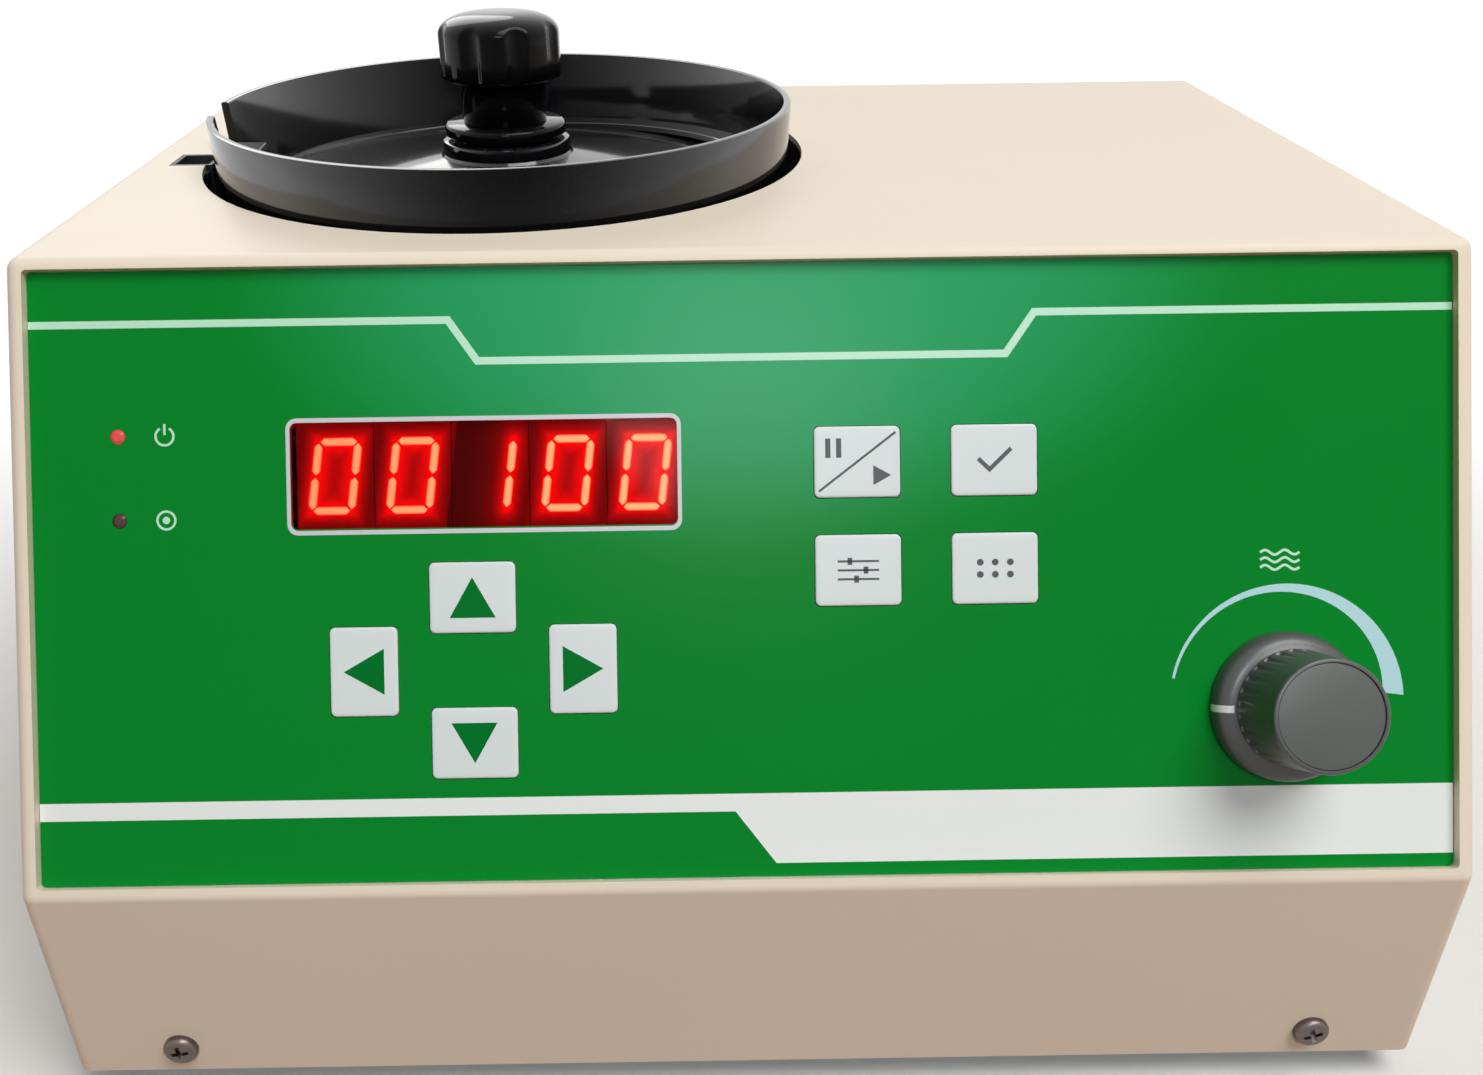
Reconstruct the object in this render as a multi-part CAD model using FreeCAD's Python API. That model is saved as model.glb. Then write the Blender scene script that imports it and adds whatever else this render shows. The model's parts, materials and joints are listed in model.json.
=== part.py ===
import FreeCAD, Part
import math
import os

from FreeCAD import Placement, Rotation, Vector

# Vibratory seed counter. Lengths are in millimetres and angles in degrees.
# +Z is up, the operator's side faces -Y, and the origin is on the bench under the middle of the outside box.

# Folded sheet case
case_width = 310.0
deck_depth = 180.0
panel_run = 67.0
panel_drop = 117.5
chin_height = 53.0
sheet = 1.5
bend_radius = 3.0
sheet_gap = 0.3
tray_flange = 18.0
rear_flange = 9.0
rear_reveal = 0.2
rear_fittings_reach = 4.6

# Feet
foot_height = 8.5
foot_radius = 9.0
foot_draft = 1.0
foot_inset_x = 23.0
foot_inset_front = 32.0
foot_inset_rear = 28.0
foot_head_seat = 4.5

# Screws, all of one size
screw_head_radius = 3.9
screw_head_height = 2.3
screw_shank_radius = 1.95
screw_hole_radius = 2.0
chin_screw_from_side = 25.6
case_screw_rise = 7.6

# Sloping front panel, in its own flat coordinates: u across, v up the slope, w out of the face
panel_side_border = 4.0
panel_end_border = 2.2
panel_recess = 2.2
lip_wall = 1.2
overlay_thickness = 0.5
plate_thickness = 2.0
plate_flange = 14.0
plate_flange_end = 10.0
plate_screw_v = (30.0, 105.0)
plate_screw_depth = 7.0
panel_corner = 1.0
window_fit = 0.15

# Display
display_u = -55.0
display_v = 89.2
display_width = 81.8
display_height = 22.4
display_corner = 1.5
window_thickness = 2.2
digit_count = 5
digit_pitch = 16.6
digit_gap = 0.2
digit_depth = 8.0
digit_air = 0.5
segment_span = 8.4
segment_rise = 14.7
segment_stroke = 1.7
segment_slant = 7.0
segment_thickness = 0.3
segment_join = 0.35
shown_digits = "00100"

# Keys
key_wide = (18.3, 15.1)
key_tall = (14.4, 19.0)
key_corner = 1.2
key_proud = 0.35
key_edge = 0.2
key_travel = 0.4
key_flange = 1.0
key_flange_thickness = 0.8
key_stem = 4.0
arrow_centre = (-57.9, 47.4)
arrow_offset_u = 23.3
arrow_offset_v = 15.5
function_corner = (24.2, 67.5)
function_pitch_u = 29.1
function_pitch_v = 23.0
switch_size = 6.0
switch_height = 3.5
switch_plunger_size = 3.2
switch_plunger_height = 0.8

# Circuit boards
board_thickness = 1.6
board_margin = 6.0
stud_radius = 1.6
stud_inset = 3.5
board_clear = 0.1

# Indicator lamps
lamp_u = -132.4
lamp_v = (98.0, 80.2)
lamp_radius = 1.5
lamp_rim = 0.45
lamp_proud = 0.6
lamp_hole_fit = 0.1
lamp_lead = 0.5

# Speed control
knob_from_side = 40.2
knob_v = 37.2
knob_skirt_radius = 16.0
knob_barrel_radius = 12.5
knob_top_radius = 11.7
knob_height = 21.2
knob_clear = 0.3
knob_skirt_edge = 1.7
knob_skirt_height = 5.2
knob_flutes = 28
knob_flute_depth = 0.7
knob_cap_radius = 10.7
knob_cap_thickness = 1.2
knob_cap_sink = 0.25
knob_cavity_radius = 8.2
knob_cavity_height = 4.6
shaft_radius = 3.0
shaft_fit = 0.03
shaft_engaged = 12.0
bushing_radius = 3.5
bushing_bore_fit = 0.05
bushing_rise = 3.2
pot_radius = 8.5
pot_depth = 9.0
pot_nut_flats = 10.0
pot_nut_height = 2.0

# Vibrating bowl, heights from the deck's upper face
bowl_from_deck_front = 93.0
bowl_radius = 75.6
bowl_draft = 1.2
bowl_wall = 2.0
bowl_rim = 13.0
bowl_skirt_foot = -14.0
bowl_floor_hub = 0.0
bowl_floor_edge = -8.0
bowl_floor_thickness = 3.0
bowl_boss_radius = 17.0
bowl_boss_top = 4.0
bowl_boss_foot = -16.0
bowl_boss_wall = 3.0
bowl_gap = 3.2
track_width = 7.5
track_thickness = 1.8
track_sweep = 330.0
track_root = 0.8
gate_angle = 215.0
gate_radius = 10.0
gate_left = 4.0
notch_front = -14.5
notch_rear = 3.0
notch_foot = 2.6
notch_curve = 9.0

# Bowl clamp
stud_thread_radius = 4.0
thread_fit = 0.05
thread_pitch = 1.25
washer_radius = 16.0
washer_step_radius = 14.0
washer_step = 1.0
washer_thickness = 4.0
hand_knob_neck_radius = 11.0
hand_knob_neck = 11.0
hand_knob_radius = 15.6
hand_knob_height = 16.0
hand_knob_dome = 5.2
hand_knob_lobes = 8
hand_knob_scoop = 4.2
hand_knob_scoop_depth = 1.3
insert_radius = 6.5
insert_fit = 0.05
insert_length = 17.0
stud_rise = 24.0

# Vibratory drive
carrier_radius = 34.0
carrier_thickness = 6.0
spring_count = 3
spring_circle = 42.0
spring_width = 18.0
spring_thickness = 1.5
spring_lean = 18.0
spring_first_angle = 0.0
spring_end_gap = 9.0
clamp_height = 14.0
clamp_thickness = 4.0
lug_thickness = 9.0
clamp_bolt_radius = 2.5
clamp_bolt_flats = 7.6
clamp_bolt_head_height = 3.0
drive_base_radius = 46.0
drive_base_thickness = 32.0
drive_base_edge = 2.0
mount_height = 16.0
mount_radius = 9.0
mount_waist = 7.0
mount_circle = 33.0
core_width = 50.0
core_depth = 25.0
core_height = 42.0
core_leg = 12.0
core_yoke = 12.0
coil_wall = 5.5
coil_fit = 0.3
magnet_air_gap = 1.5
armature_thickness = 8.0
pedestal_margin = 3.0

# Seed path: deck port, sensor, chute and drawer
port_from_side = 10.4
port_width = 8.9
port_front = 83.0
port_rear = 93.0
port_wall = 1.0
port_bowl_clear = 0.8
port_flange = 3.0
funnel_depth = 26.0
throat = 8.0
throat_wall = 1.5
sensor_height = 32.0
sensor_size = (16.0, 34.0)
sensor_lens_radius = 2.5
sensor_lens_length = 9.0
sensor_lens_tip = 1.4
sensor_lens_fit = 0.05
sensor_lead_length = 5.0
sensor_lead = 0.5
sensor_lead_pitch = 2.54
drawer_width = 88.0
drawer_height = 40.0
drawer_base_clear = 8.6
drawer_wall = 1.5
drawer_rise = 9.0
drawer_side_gap = 0.6
drawer_lip = 3.5
drawer_front_gap = 0.3
drawer_grip_radius = 13.0
drawer_grip_depth = 9.0
drawer_centre_from_deck_front = 87.75
runner_ledge = 6.0
runner_guide = 20.0
chute_end_gap = 2.0

# Rear fittings
inlet_from_side = 60.0
inlet_z = 44.0
inlet_body = (27.0, 19.8)
inlet_flange = (49.0, 23.0)
inlet_flange_thickness = 2.5
inlet_depth = 22.0
inlet_socket = (24.2, 16.6)
inlet_socket_depth = 16.0
inlet_chamfer = 4.0
inlet_pin = (2.0, 4.0)
inlet_pin_pitch = 7.0
inlet_pin_step = 2.0
inlet_pin_short = 2.0
inlet_screw_pitch = 40.0
inlet_screw_radius = 1.6
switch_from_side = 115.0
switch_z = 44.0
switch_bezel = (15.0, 21.0)
switch_bezel_thickness = 2.0
switch_bezel_edge = 0.6
switch_body = (13.6, 19.0)
switch_depth = 14.0
switch_mouth = (11.2, 17.2)
rocker_width = 10.8
rocker_sweep_radius = 8.3
rocker_tilt = 10.0
rocker_pin_radius = 1.2
rocker_pin_fit = 0.05
rocker_pin_reach = 0.6
rocker_pivot_depth = 1.0

# Power parts on the floor of the case
transformer_from_side = 60.0
transformer_from_front = 61.7
transformer_core = (57.0, 34.0, 48.0)
transformer_coil = (36.0, 50.0)
main_board_from_side = 13.0
main_board_from_rear = 39.3
main_board_size = (120.0, 100.0)
standoff_height = 10.0
standoff_radius = 3.0
vent_count = 7
vent_length = 34.0
vent_width = 4.0
vent_pitch = 11.0

# Parts on the main board, their places counted from its front left corner
capacitor_radius = 6.3
capacitor_height = 22.0
capacitor_place = (22.0, 18.0)
capacitor_pitch = 16.0
capacitor_count = 3
relay_size = (19.0, 16.0, 15.0)
relay_place = (12.0, 40.0)
chip_size = (36.0, 14.0, 4.0)
chip_place = (44.0, 42.0)
terminal_size = (10.0, 10.0, 11.0)
terminal_place = (106.0, 34.0)
terminal_pitch = 11.0
terminal_count = 4
sink_size = (26.0, 2.5, 26.0)
sink_place = (74.0, 8.0)
fin_thickness = 2.5
fin_length = 10.0
fin_pitch = 4.7
fin_count = 6
small_part_size = (7.0, 6.0, 3.0)
small_part_place = (20.0, 78.0)
small_part_pitch = 12.0
small_part_count = 6

# Worked out from the sizes above
case_depth = deck_depth + panel_run
case_bottom = foot_height
chin_top = case_bottom + chin_height
deck_top = chin_top + panel_drop
panel_length = math.hypot(panel_run, panel_drop)
lean = math.atan2(panel_run, panel_drop)
overlay_face = -panel_recess
plate_face = overlay_face - overlay_thickness
plate_back = plate_face - plate_thickness
knob_foot = overlay_face + knob_clear
knob_top = knob_foot + knob_height
knob_ahead = knob_top * math.cos(lean) + (knob_top_radius - knob_v) * math.sin(lean)
front_y = -(case_depth + rear_fittings_reach - knob_ahead) / 2
rear_y = front_y + case_depth
deck_front_y = front_y + panel_run
inner_half = case_width / 2 - sheet
nested_half = inner_half - sheet_gap
rear_panel_back = rear_y - rear_reveal
rear_panel_front = rear_panel_back - sheet
opening_u = case_width / 2 - panel_side_border
opening_v = (panel_end_border, panel_length - panel_end_border)
floor_top = case_bottom + sheet
knob_u = case_width / 2 - knob_from_side
port_outer_x = port_from_side - case_width / 2
port_inner_x = port_outer_x + port_width
bowl_x = port_inner_x + port_wall + port_bowl_clear + bowl_radius
bowl_y = deck_front_y + bowl_from_deck_front
carrier_top = deck_top + bowl_boss_foot
carrier_foot = carrier_top - carrier_thickness
drive_base_foot = floor_top + mount_height
drive_base_top = drive_base_foot + drive_base_thickness
port_y = (deck_front_y + port_front, deck_front_y + port_rear)
port_centre = ((port_outer_x + port_inner_x) / 2, sum(port_y) / 2)
funnel_foot = deck_top - funnel_depth
sensor_foot = funnel_foot - sensor_height
drawer_floor = case_bottom + drawer_rise
drawer_top = drawer_floor + drawer_height
drawer_y = deck_front_y + drawer_centre_from_deck_front
drawer_front_x = -case_width / 2 - drawer_front_gap - sheet
drawer_depth = bowl_x - drive_base_radius - drawer_base_clear - drawer_front_x
inlet_x = case_width / 2 - inlet_from_side
switch_x = case_width / 2 - switch_from_side
transformer_centre = (case_width / 2 - transformer_from_side, front_y + transformer_from_front)
board_right = case_width / 2 - main_board_from_side
board_rear = rear_y - main_board_from_rear
main_board_x = (board_right - main_board_size[0], board_right)
main_board_y = (board_rear - main_board_size[1], board_rear)
key_back = plate_back - board_clear / 2
key_flange_back = key_back - key_flange_thickness
key_stem_end = key_flange_back - key_flange_thickness - key_travel
switch_top = key_stem_end - key_travel - board_clear / 2
key_board_face = switch_top - switch_plunger_height - switch_height
digit_face = plate_back - digit_air
display_board_face = digit_face - digit_depth


def block(x_range, y_range, z_range):
    """Upright box between pairs of coordinates."""
    low = Vector(x_range[0], y_range[0], z_range[0])
    return Part.makeBox(x_range[1] - x_range[0], y_range[1] - y_range[0], z_range[1] - z_range[0], low)


def rod(radius, start, end):
    """Round bar between two points."""
    axis = Vector(*end) - Vector(*start)
    return Part.makeCylinder(radius, axis.Length, Vector(*start), axis)


def rounded_block(centre, size, corner, z_range):
    """Box about a centre whose upright edges are rounded."""
    half_x = size[0] / 2
    half_y = size[1] / 2
    solid = block((centre[0] - half_x, centre[0] + half_x), (centre[1] - half_y, centre[1] + half_y), z_range)
    uprights = [edge for edge in solid.Edges if abs(edge.tangentAt(edge.FirstParameter).z) > 0.99]
    return solid.makeFillet(corner, uprights)


def turned(points, centre=(0.0, 0.0), base=0.0):
    """Solid of revolution about an upright axis from (radius, height) points."""
    corners = [Vector(radius, 0, height) for radius, height in points]
    face = Part.Face(Part.makePolygon(corners + corners[:1]))
    solid = Part.makeSolid(Part.Shell(face.revolve(Vector(0, 0, 0), Vector(0, 0, 1), 360).Faces))
    if solid.Volume < 0:
        solid.reverse()
    solid.translate(Vector(centre[0], centre[1], base))
    return solid


def prism(points, axis, start, length):
    """Prism from 2-D points: along X the points are (y, z), along Y (x, z) and along Z (x, y)."""
    if axis == "x":
        corners = [Vector(start, a, b) for a, b in points]
        direction = Vector(length, 0, 0)
    elif axis == "y":
        corners = [Vector(a, start, b) for a, b in points]
        direction = Vector(0, length, 0)
    else:
        corners = [Vector(a, b, start) for a, b in points]
        direction = Vector(0, 0, length)
    return Part.Face(Part.makePolygon(corners + corners[:1])).extrude(direction)


def hex_bar(flats, centre, z_range):
    """Hexagonal bar with the given distance across its flats."""
    corner = flats / math.sqrt(3)
    points = []
    for step in range(6):
        angle = math.radians(60 * step)
        points.append((centre[0] + corner * math.cos(angle), centre[1] + corner * math.sin(angle)))
    return prism(points, "z", z_range[0], z_range[1] - z_range[0])


def polar(centre, radius, angle):
    """Point at a radius and an angle about a centre."""
    turn = math.radians(angle)
    return centre[0] + radius * math.cos(turn), centre[1] + radius * math.sin(turn)


def on_panel(solid):
    """Move a solid drawn in the panel's flat coordinates onto the sloping panel."""
    placed = solid.copy()
    slope = Placement(Vector(0, front_y, chin_top), Rotation(Vector(1, 0, 0), 90 - math.degrees(lean)))
    placed.Placement = slope.multiply(placed.Placement)
    return placed


def panel_point(v, w):
    """Height and depth in the case of a point on the panel."""
    y = front_y + v * math.sin(lean) - w * math.cos(lean)
    z = chin_top + v * math.cos(lean) + w * math.sin(lean)
    return y, z


def pan_screw(seat, direction, length):
    """Pan-head screw whose head sits at a point and whose shank runs along a direction."""
    head = Part.makeCylinder(screw_head_radius, screw_head_height)
    screw = head.fuse(rod(screw_shank_radius, (0, 0, -length), (0, 0, 0)))
    screw.Placement = Placement(Vector(*seat), Rotation(Vector(0, 0, -1), Vector(*direction)))
    return screw


def save(name, *shapes):
    """Write the solids of one named piece."""
    solids = [solid for shape in shapes for solid in shape.Solids]
    whole = solids[0] if len(solids) == 1 else Part.makeCompound(solids)
    whole.exportStep(f"parts/{name}.step")


# Where the screws of the case go: seat point and driving direction


def tray_side_screw_y():
    return front_y + 45.0, rear_y - 22.0


def case_screw_seats():
    seats = []
    half = case_width / 2
    rise = case_bottom + case_screw_rise
    for side in (-1, 1):
        chin_x = case_width / 2 - chin_screw_from_side
        seats.append(((side * chin_x, front_y, rise), (0, 1, 0)))
        for y in tray_side_screw_y():
            seats.append(((side * half, y, rise), (-side, 0, 0)))
        for v in plate_screw_v:
            y, z = panel_point(v, plate_back - plate_screw_depth)
            seats.append(((side * half, y, z), (-side, 0, 0)))
    return seats


def rear_screw_seats():
    seats = []
    flange_x = inner_half - rear_flange / 2
    rise = case_bottom + case_screw_rise
    for side in (-1, 1):
        seats.append(((side * (inner_half - 4 * rear_flange), rear_panel_back, rise), (0, -1, 0)))
        seats.append(((side * flange_x, rear_panel_back, case_bottom + deck_top * 0.3), (0, -1, 0)))
        seats.append(((side * flange_x, rear_panel_back, deck_top - 3 * rear_flange), (0, -1, 0)))
        top_x = inner_half - 3 * rear_flange
        seats.append(((side * top_x, rear_panel_back, deck_top - sheet - rear_flange / 2), (0, -1, 0)))
    return seats


def foot_places():
    places = []
    for side in (-1, 1):
        places.append((side * (case_width / 2 - foot_inset_x), front_y + foot_inset_front))
        places.append((side * (case_width / 2 - foot_inset_x), rear_y - foot_inset_rear))
    return places


def screw_holes(seats, depth):
    """Clearance holes along each screw, to the given depth behind its seat."""
    holes = []
    for seat, direction in seats:
        way = Vector(*direction)
        start = Vector(*seat) - way
        holes.append(Part.makeCylinder(screw_hole_radius, depth + 1, start, way))
    return holes


# Case


def case_profile(inset, rear, bottom):
    """Side outline of the case moved inwards by an inset, from the foot of the chin round to the rear."""
    chin_y = front_y + inset
    deck_z = deck_top - inset
    line_y = front_y + inset * math.cos(lean)
    line_z = chin_top - inset * math.sin(lean)
    knee_z = line_z + (chin_y - line_y) / math.tan(lean)
    brow_y = line_y + (deck_z - line_z) * math.tan(lean)
    return [(chin_y, bottom), (chin_y, knee_z), (brow_y, deck_z), (rear, deck_z), (rear, bottom)]


def bent_case(inset, radius, rear, bottom):
    """Solid inside the case's outline, its bends rounded, its rear and bottom edges sharp."""
    half = case_width / 2 - inset
    solid = prism(case_profile(inset, rear, bottom), "x", -half, 2 * half)
    bends = []
    for edge in solid.Edges:
        middle = edge.CenterOfMass
        if abs(middle.y - rear) > 0.01 and abs(middle.z - bottom) > 0.01:
            bends.append(edge)
    return solid.makeFillet(radius, bends)


def drawer_window(margin):
    """Box through the left side where the drawer passes."""
    half = drawer_width / 2 + margin
    x_range = (-case_width / 2 - 5, -inner_half + 5)
    return block(x_range, (drawer_y - half, drawer_y + half), (drawer_floor - margin, drawer_top + margin))


def make_hood():
    """Cover folded from one sheet: deck, sides, chin and the frame round the sloping panel."""
    outer = bent_case(0, bend_radius, rear_y, case_bottom)
    inner = bent_case(sheet, bend_radius - sheet, rear_y + 10, case_bottom - 10)
    shell = outer.cut(inner)
    opening_size = (2 * opening_u, opening_v[1] - opening_v[0])
    opening_centre = (0, sum(opening_v) / 2)
    lip_size = (opening_size[0] + 2 * lip_wall, opening_size[1] + 2 * lip_wall)
    opening = rounded_block(opening_centre, opening_size, panel_corner, (plate_face - 6, 6))
    lip = rounded_block(opening_centre, lip_size, panel_corner, (plate_face, -sheet / 2))
    shell = shell.fuse(on_panel(lip)).cut(on_panel(opening))
    frame = block((-inner_half - 0.2, inner_half + 0.2), (rear_panel_front - sheet, rear_panel_front),
                  (case_bottom + tray_flange + 1, deck_top - sheet / 2))
    frame_hole = block((rear_flange - inner_half, inner_half - rear_flange),
                       (rear_panel_front - 2 * sheet, rear_panel_front + sheet),
                       (case_bottom, deck_top - sheet - rear_flange))
    shell = shell.fuse(frame.cut(frame_hole))
    bowl_hole = rod(bowl_radius + bowl_gap, (bowl_x, bowl_y, deck_top - 2 * sheet), (bowl_x, bowl_y, deck_top + 1))
    slot_x = port_outer_x - port_wall - sheet_gap
    slot_y = (port_y[0] - port_wall - sheet_gap, port_y[1] + port_wall + sheet_gap)
    slot = block((slot_x, port_inner_x + 10), slot_y, (deck_top - 2 * sheet, deck_top + 1))
    cuts = [bowl_hole, slot, drawer_window(drawer_side_gap)]
    cuts += screw_holes(case_screw_seats(), 4 * sheet)
    cuts += screw_holes(rear_screw_seats(), 6 * sheet)
    return shell.cut(cuts)


def make_base_tray():
    """Floor of the case with upturned edges, corner reliefs and vent slots."""
    y_range = (front_y + sheet + sheet_gap, rear_panel_front)
    outer = block((-nested_half, nested_half), y_range, (case_bottom, case_bottom + tray_flange))
    rims = [edge for edge in outer.Edges if abs(edge.CenterOfMass.z - case_bottom) < 0.01]
    outer = outer.makeFillet(bend_radius - sheet / 2, rims)
    inner = block((sheet - nested_half, nested_half - sheet), (y_range[0] + sheet, y_range[1] - sheet),
                  (floor_top, case_bottom + 2 * tray_flange))
    tray = outer.cut(inner)
    cuts = []
    relief = 2 * bend_radius
    for x in (-nested_half, nested_half - relief):
        for y in (y_range[0], y_range[1] - relief):
            cuts.append(block((x, x + relief), (y, y + relief), (case_bottom - 1, case_bottom + tray_flange + 1)))
    drawer_half = drawer_width / 2 + runner_ledge + 2 * sheet
    cuts.append(block((-nested_half - 1, sheet_gap + sheet - nested_half), (drawer_y - drawer_half, drawer_y + drawer_half),
                      (drawer_floor - 2 * sheet, case_bottom + tray_flange + 1)))
    for row_y in (transformer_centre[1] + vent_length, main_board_y[1] - vent_length / 2):
        for step in range(vent_count):
            x = sum(main_board_x) / 2 + (step - (vent_count - 1) / 2) * vent_pitch
            cuts.append(block((x - vent_width / 2, x + vent_width / 2), (row_y - vent_length / 2, row_y + vent_length / 2),
                              (case_bottom - 1, floor_top + 1)))
    for x, y in foot_places():
        cuts.append(rod(screw_hole_radius, (x, y, case_bottom - 1), (x, y, floor_top + 1)))
    cuts += screw_holes(case_screw_seats(), 4 * sheet)
    cuts += screw_holes(rear_screw_seats(), 6 * sheet)
    return tray.cut(cuts)


def make_rear_panel():
    """Flat plate that closes the rear, with cut-outs for the mains inlet and the switch."""
    z_range = (case_bottom + sheet_gap, deck_top - sheet - sheet_gap)
    plate = block((-nested_half, nested_half), (rear_panel_front, rear_panel_back), z_range)
    upper = [edge for edge in plate.Edges
             if abs(edge.CenterOfMass.z - z_range[1]) < 0.01 and abs(abs(edge.CenterOfMass.x) - nested_half) < 0.01]
    plate = plate.makeFillet(bend_radius, upper)
    cuts = []
    for centre_x, centre_z, size in ((inlet_x, inlet_z, inlet_body), (switch_x, switch_z, switch_body)):
        half_x = size[0] / 2 + sheet_gap / 2
        half_z = size[1] / 2 + sheet_gap / 2
        cuts.append(block((centre_x - half_x, centre_x + half_x), (rear_panel_front - 1, rear_panel_back + 1),
                          (centre_z - half_z, centre_z + half_z)))
    for side in (-1, 1):
        x = inlet_x + side * inlet_screw_pitch / 2
        cuts.append(rod(inlet_screw_radius + screw_hole_radius - screw_shank_radius,
                        (x, rear_panel_front - 1, inlet_z), (x, rear_panel_back + 1, inlet_z)))
    cuts += screw_holes(rear_screw_seats(), 4 * sheet)
    return plate.cut(cuts)


def make_feet():
    """Rubber bumpers, each with a sunk seat for its screw."""
    profile = [(screw_hole_radius, foot_height), (foot_radius, foot_height), (foot_radius - foot_draft, 0),
               (screw_head_radius + 0.6, 0), (screw_head_radius + 0.6, foot_head_seat),
               (screw_hole_radius, foot_head_seat)]
    return [turned(profile, place) for place in foot_places()]


def make_screws():
    """All pan-head screws of the case."""
    screws = [pan_screw(seat, direction, 4 * sheet) for seat, direction in case_screw_seats()]
    screws += [pan_screw(seat, direction, 4 * sheet) for seat, direction in rear_screw_seats()]
    for x, y in foot_places():
        screws.append(pan_screw((x, y, foot_head_seat), (0, 0, 1), foot_height - foot_head_seat + 2 * sheet))
    return screws


# Panel assembly


def key_layout():
    """Name, centre and size of each key."""
    left, low = function_corner
    return [
        ("key_up", (arrow_centre[0], arrow_centre[1] + arrow_offset_v), key_wide),
        ("key_down", (arrow_centre[0], arrow_centre[1] - arrow_offset_v), key_wide),
        ("key_left", (arrow_centre[0] - arrow_offset_u, arrow_centre[1]), key_tall),
        ("key_right", (arrow_centre[0] + arrow_offset_u, arrow_centre[1]), key_tall),
        ("key_pause", (left, low + function_pitch_v), key_wide),
        ("key_confirm", (left + function_pitch_u, low + function_pitch_v), key_wide),
        ("key_set", (left, low), key_wide),
        ("key_count", (left + function_pitch_u, low), key_wide),
    ]


def grown(size, margin):
    return size[0] + 2 * margin, size[1] + 2 * margin


def flat_block(centre, size, z_range):
    """Box with sharp edges about a centre."""
    half_x = size[0] / 2
    half_y = size[1] / 2
    return block((centre[0] - half_x, centre[0] + half_x), (centre[1] - half_y, centre[1] + half_y), z_range)


def panel_holes(z_range, corners):
    """Windows for the display, keys, lamps and speed shaft; those of the film have round corners."""
    windows = [((display_u, display_v), (display_width, display_height), display_corner)]
    windows += [(centre, size, key_corner) for _, centre, size in key_layout()]
    holes = []
    for centre, size, corner in windows:
        fitted = grown(size, window_fit)
        if corners == "round":
            holes.append(rounded_block(centre, fitted, corner, z_range))
        else:
            holes.append(flat_block(centre, fitted, z_range))
    for v in lamp_v:
        holes.append(rod(lamp_radius + lamp_hole_fit, (lamp_u, v, z_range[0]), (lamp_u, v, z_range[1])))
    holes.append(rod(bushing_radius + lamp_hole_fit, (knob_u, knob_v, z_range[0]), (knob_u, knob_v, z_range[1])))
    return holes


def board_outlines():
    """Outlines of the display board and of the L-shaped key board, in panel coordinates."""
    low = display_v - display_height / 2 - board_margin
    high = display_v + display_height / 2 + board_margin
    display_edge = display_u + display_width / 2 + board_margin
    display = [(lamp_u - board_margin, low), (display_edge, low), (display_edge, high), (lamp_u - board_margin, high)]
    key_low = arrow_centre[1] - arrow_offset_v - key_wide[1] / 2 - board_margin
    key_left = arrow_centre[0] - arrow_offset_u - key_tall[0] / 2 - board_margin
    step_u = display_edge + board_clear * 10
    key_right = function_corner[0] + function_pitch_u + key_wide[0] / 2 + board_margin
    key_high = function_corner[1] + function_pitch_v + key_wide[1] / 2 + board_margin
    step_v = low - board_clear * 10
    keys = [(key_left, key_low), (key_right, key_low), (key_right, key_high), (step_u, key_high),
            (step_u, step_v), (key_left, step_v)]
    return display, keys


def board_studs():
    """Centre and length of each stud that carries the two boards behind the front plate."""
    display, keys = board_outlines()
    studs = []
    for u, side_u in ((display[0][0], 1), (display[1][0], -1)):
        for v, side_v in ((display[0][1], 1), (display[2][1], -1)):
            studs.append(((u + side_u * stud_inset, v + side_v * stud_inset), display_board_face))
    inner_u = arrow_centre[0] + arrow_offset_u + key_tall[0] / 2 + board_margin
    for u, v in ((keys[0][0] + stud_inset, keys[0][1] + stud_inset),
                 (keys[1][0] - stud_inset, keys[1][1] + stud_inset),
                 (keys[2][0] - stud_inset, keys[2][1] - stud_inset),
                 (keys[3][0] + stud_inset, keys[3][1] - stud_inset),
                 (keys[5][0] + stud_inset, keys[5][1] - stud_inset),
                 (inner_u, keys[4][1] - stud_inset)):
        studs.append(((u, v), key_board_face))
    return studs


def make_front_plate():
    """Stiff plate behind the printed overlay, with folded side flanges and welded studs."""
    v_range = (opening_v[0] - lip_wall, opening_v[1] + lip_wall)
    plate = block((-nested_half, nested_half), v_range, (plate_back, plate_face))
    pieces = []
    for side in (-1, 1):
        u_range = sorted((side * nested_half, side * (nested_half - plate_thickness)))
        pieces.append(block(u_range, (plate_flange_end, v_range[1] - plate_flange_end),
                            (plate_back - plate_flange, plate_back)))
    for (u, v), face in board_studs():
        pieces.append(rod(stud_radius, (u, v, face), (u, v, plate_back)))
    plate = plate.fuse(pieces).removeSplitter()
    plate = on_panel(plate.cut(panel_holes((plate_back - 1, plate_face + 1), "sharp")))
    return plate.cut(screw_holes(case_screw_seats(), 4 * sheet))


def make_front_overlay():
    """Printed film bonded to the front plate inside the lip of the cover."""
    size = (2 * (opening_u - sheet_gap / 2), opening_v[1] - opening_v[0] - sheet_gap)
    film = rounded_block((0, sum(opening_v) / 2), size, panel_corner, (plate_face, overlay_face))
    return on_panel(film.cut(panel_holes((plate_face - 1, overlay_face + 1), "round")))


def make_key(centre, size):
    """Key cap: its face fills the window, a flange behind the plate holds it and a stem works the switch."""
    cap = rounded_block(centre, size, key_corner, (key_back, overlay_face + key_proud))
    crown = [edge for edge in cap.Edges if abs(edge.CenterOfMass.z - overlay_face - key_proud) < 0.01]
    cap = cap.makeChamfer(key_edge, crown)
    flange = flat_block(centre, grown(size, key_flange), (key_flange_back, key_back))
    half = key_stem / 2
    stem = block((centre[0] - half, centre[0] + half), (centre[1] - half, centre[1] + half),
                 (key_stem_end, key_flange_back))
    return on_panel(cap.fuse([flange, stem]))


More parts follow.
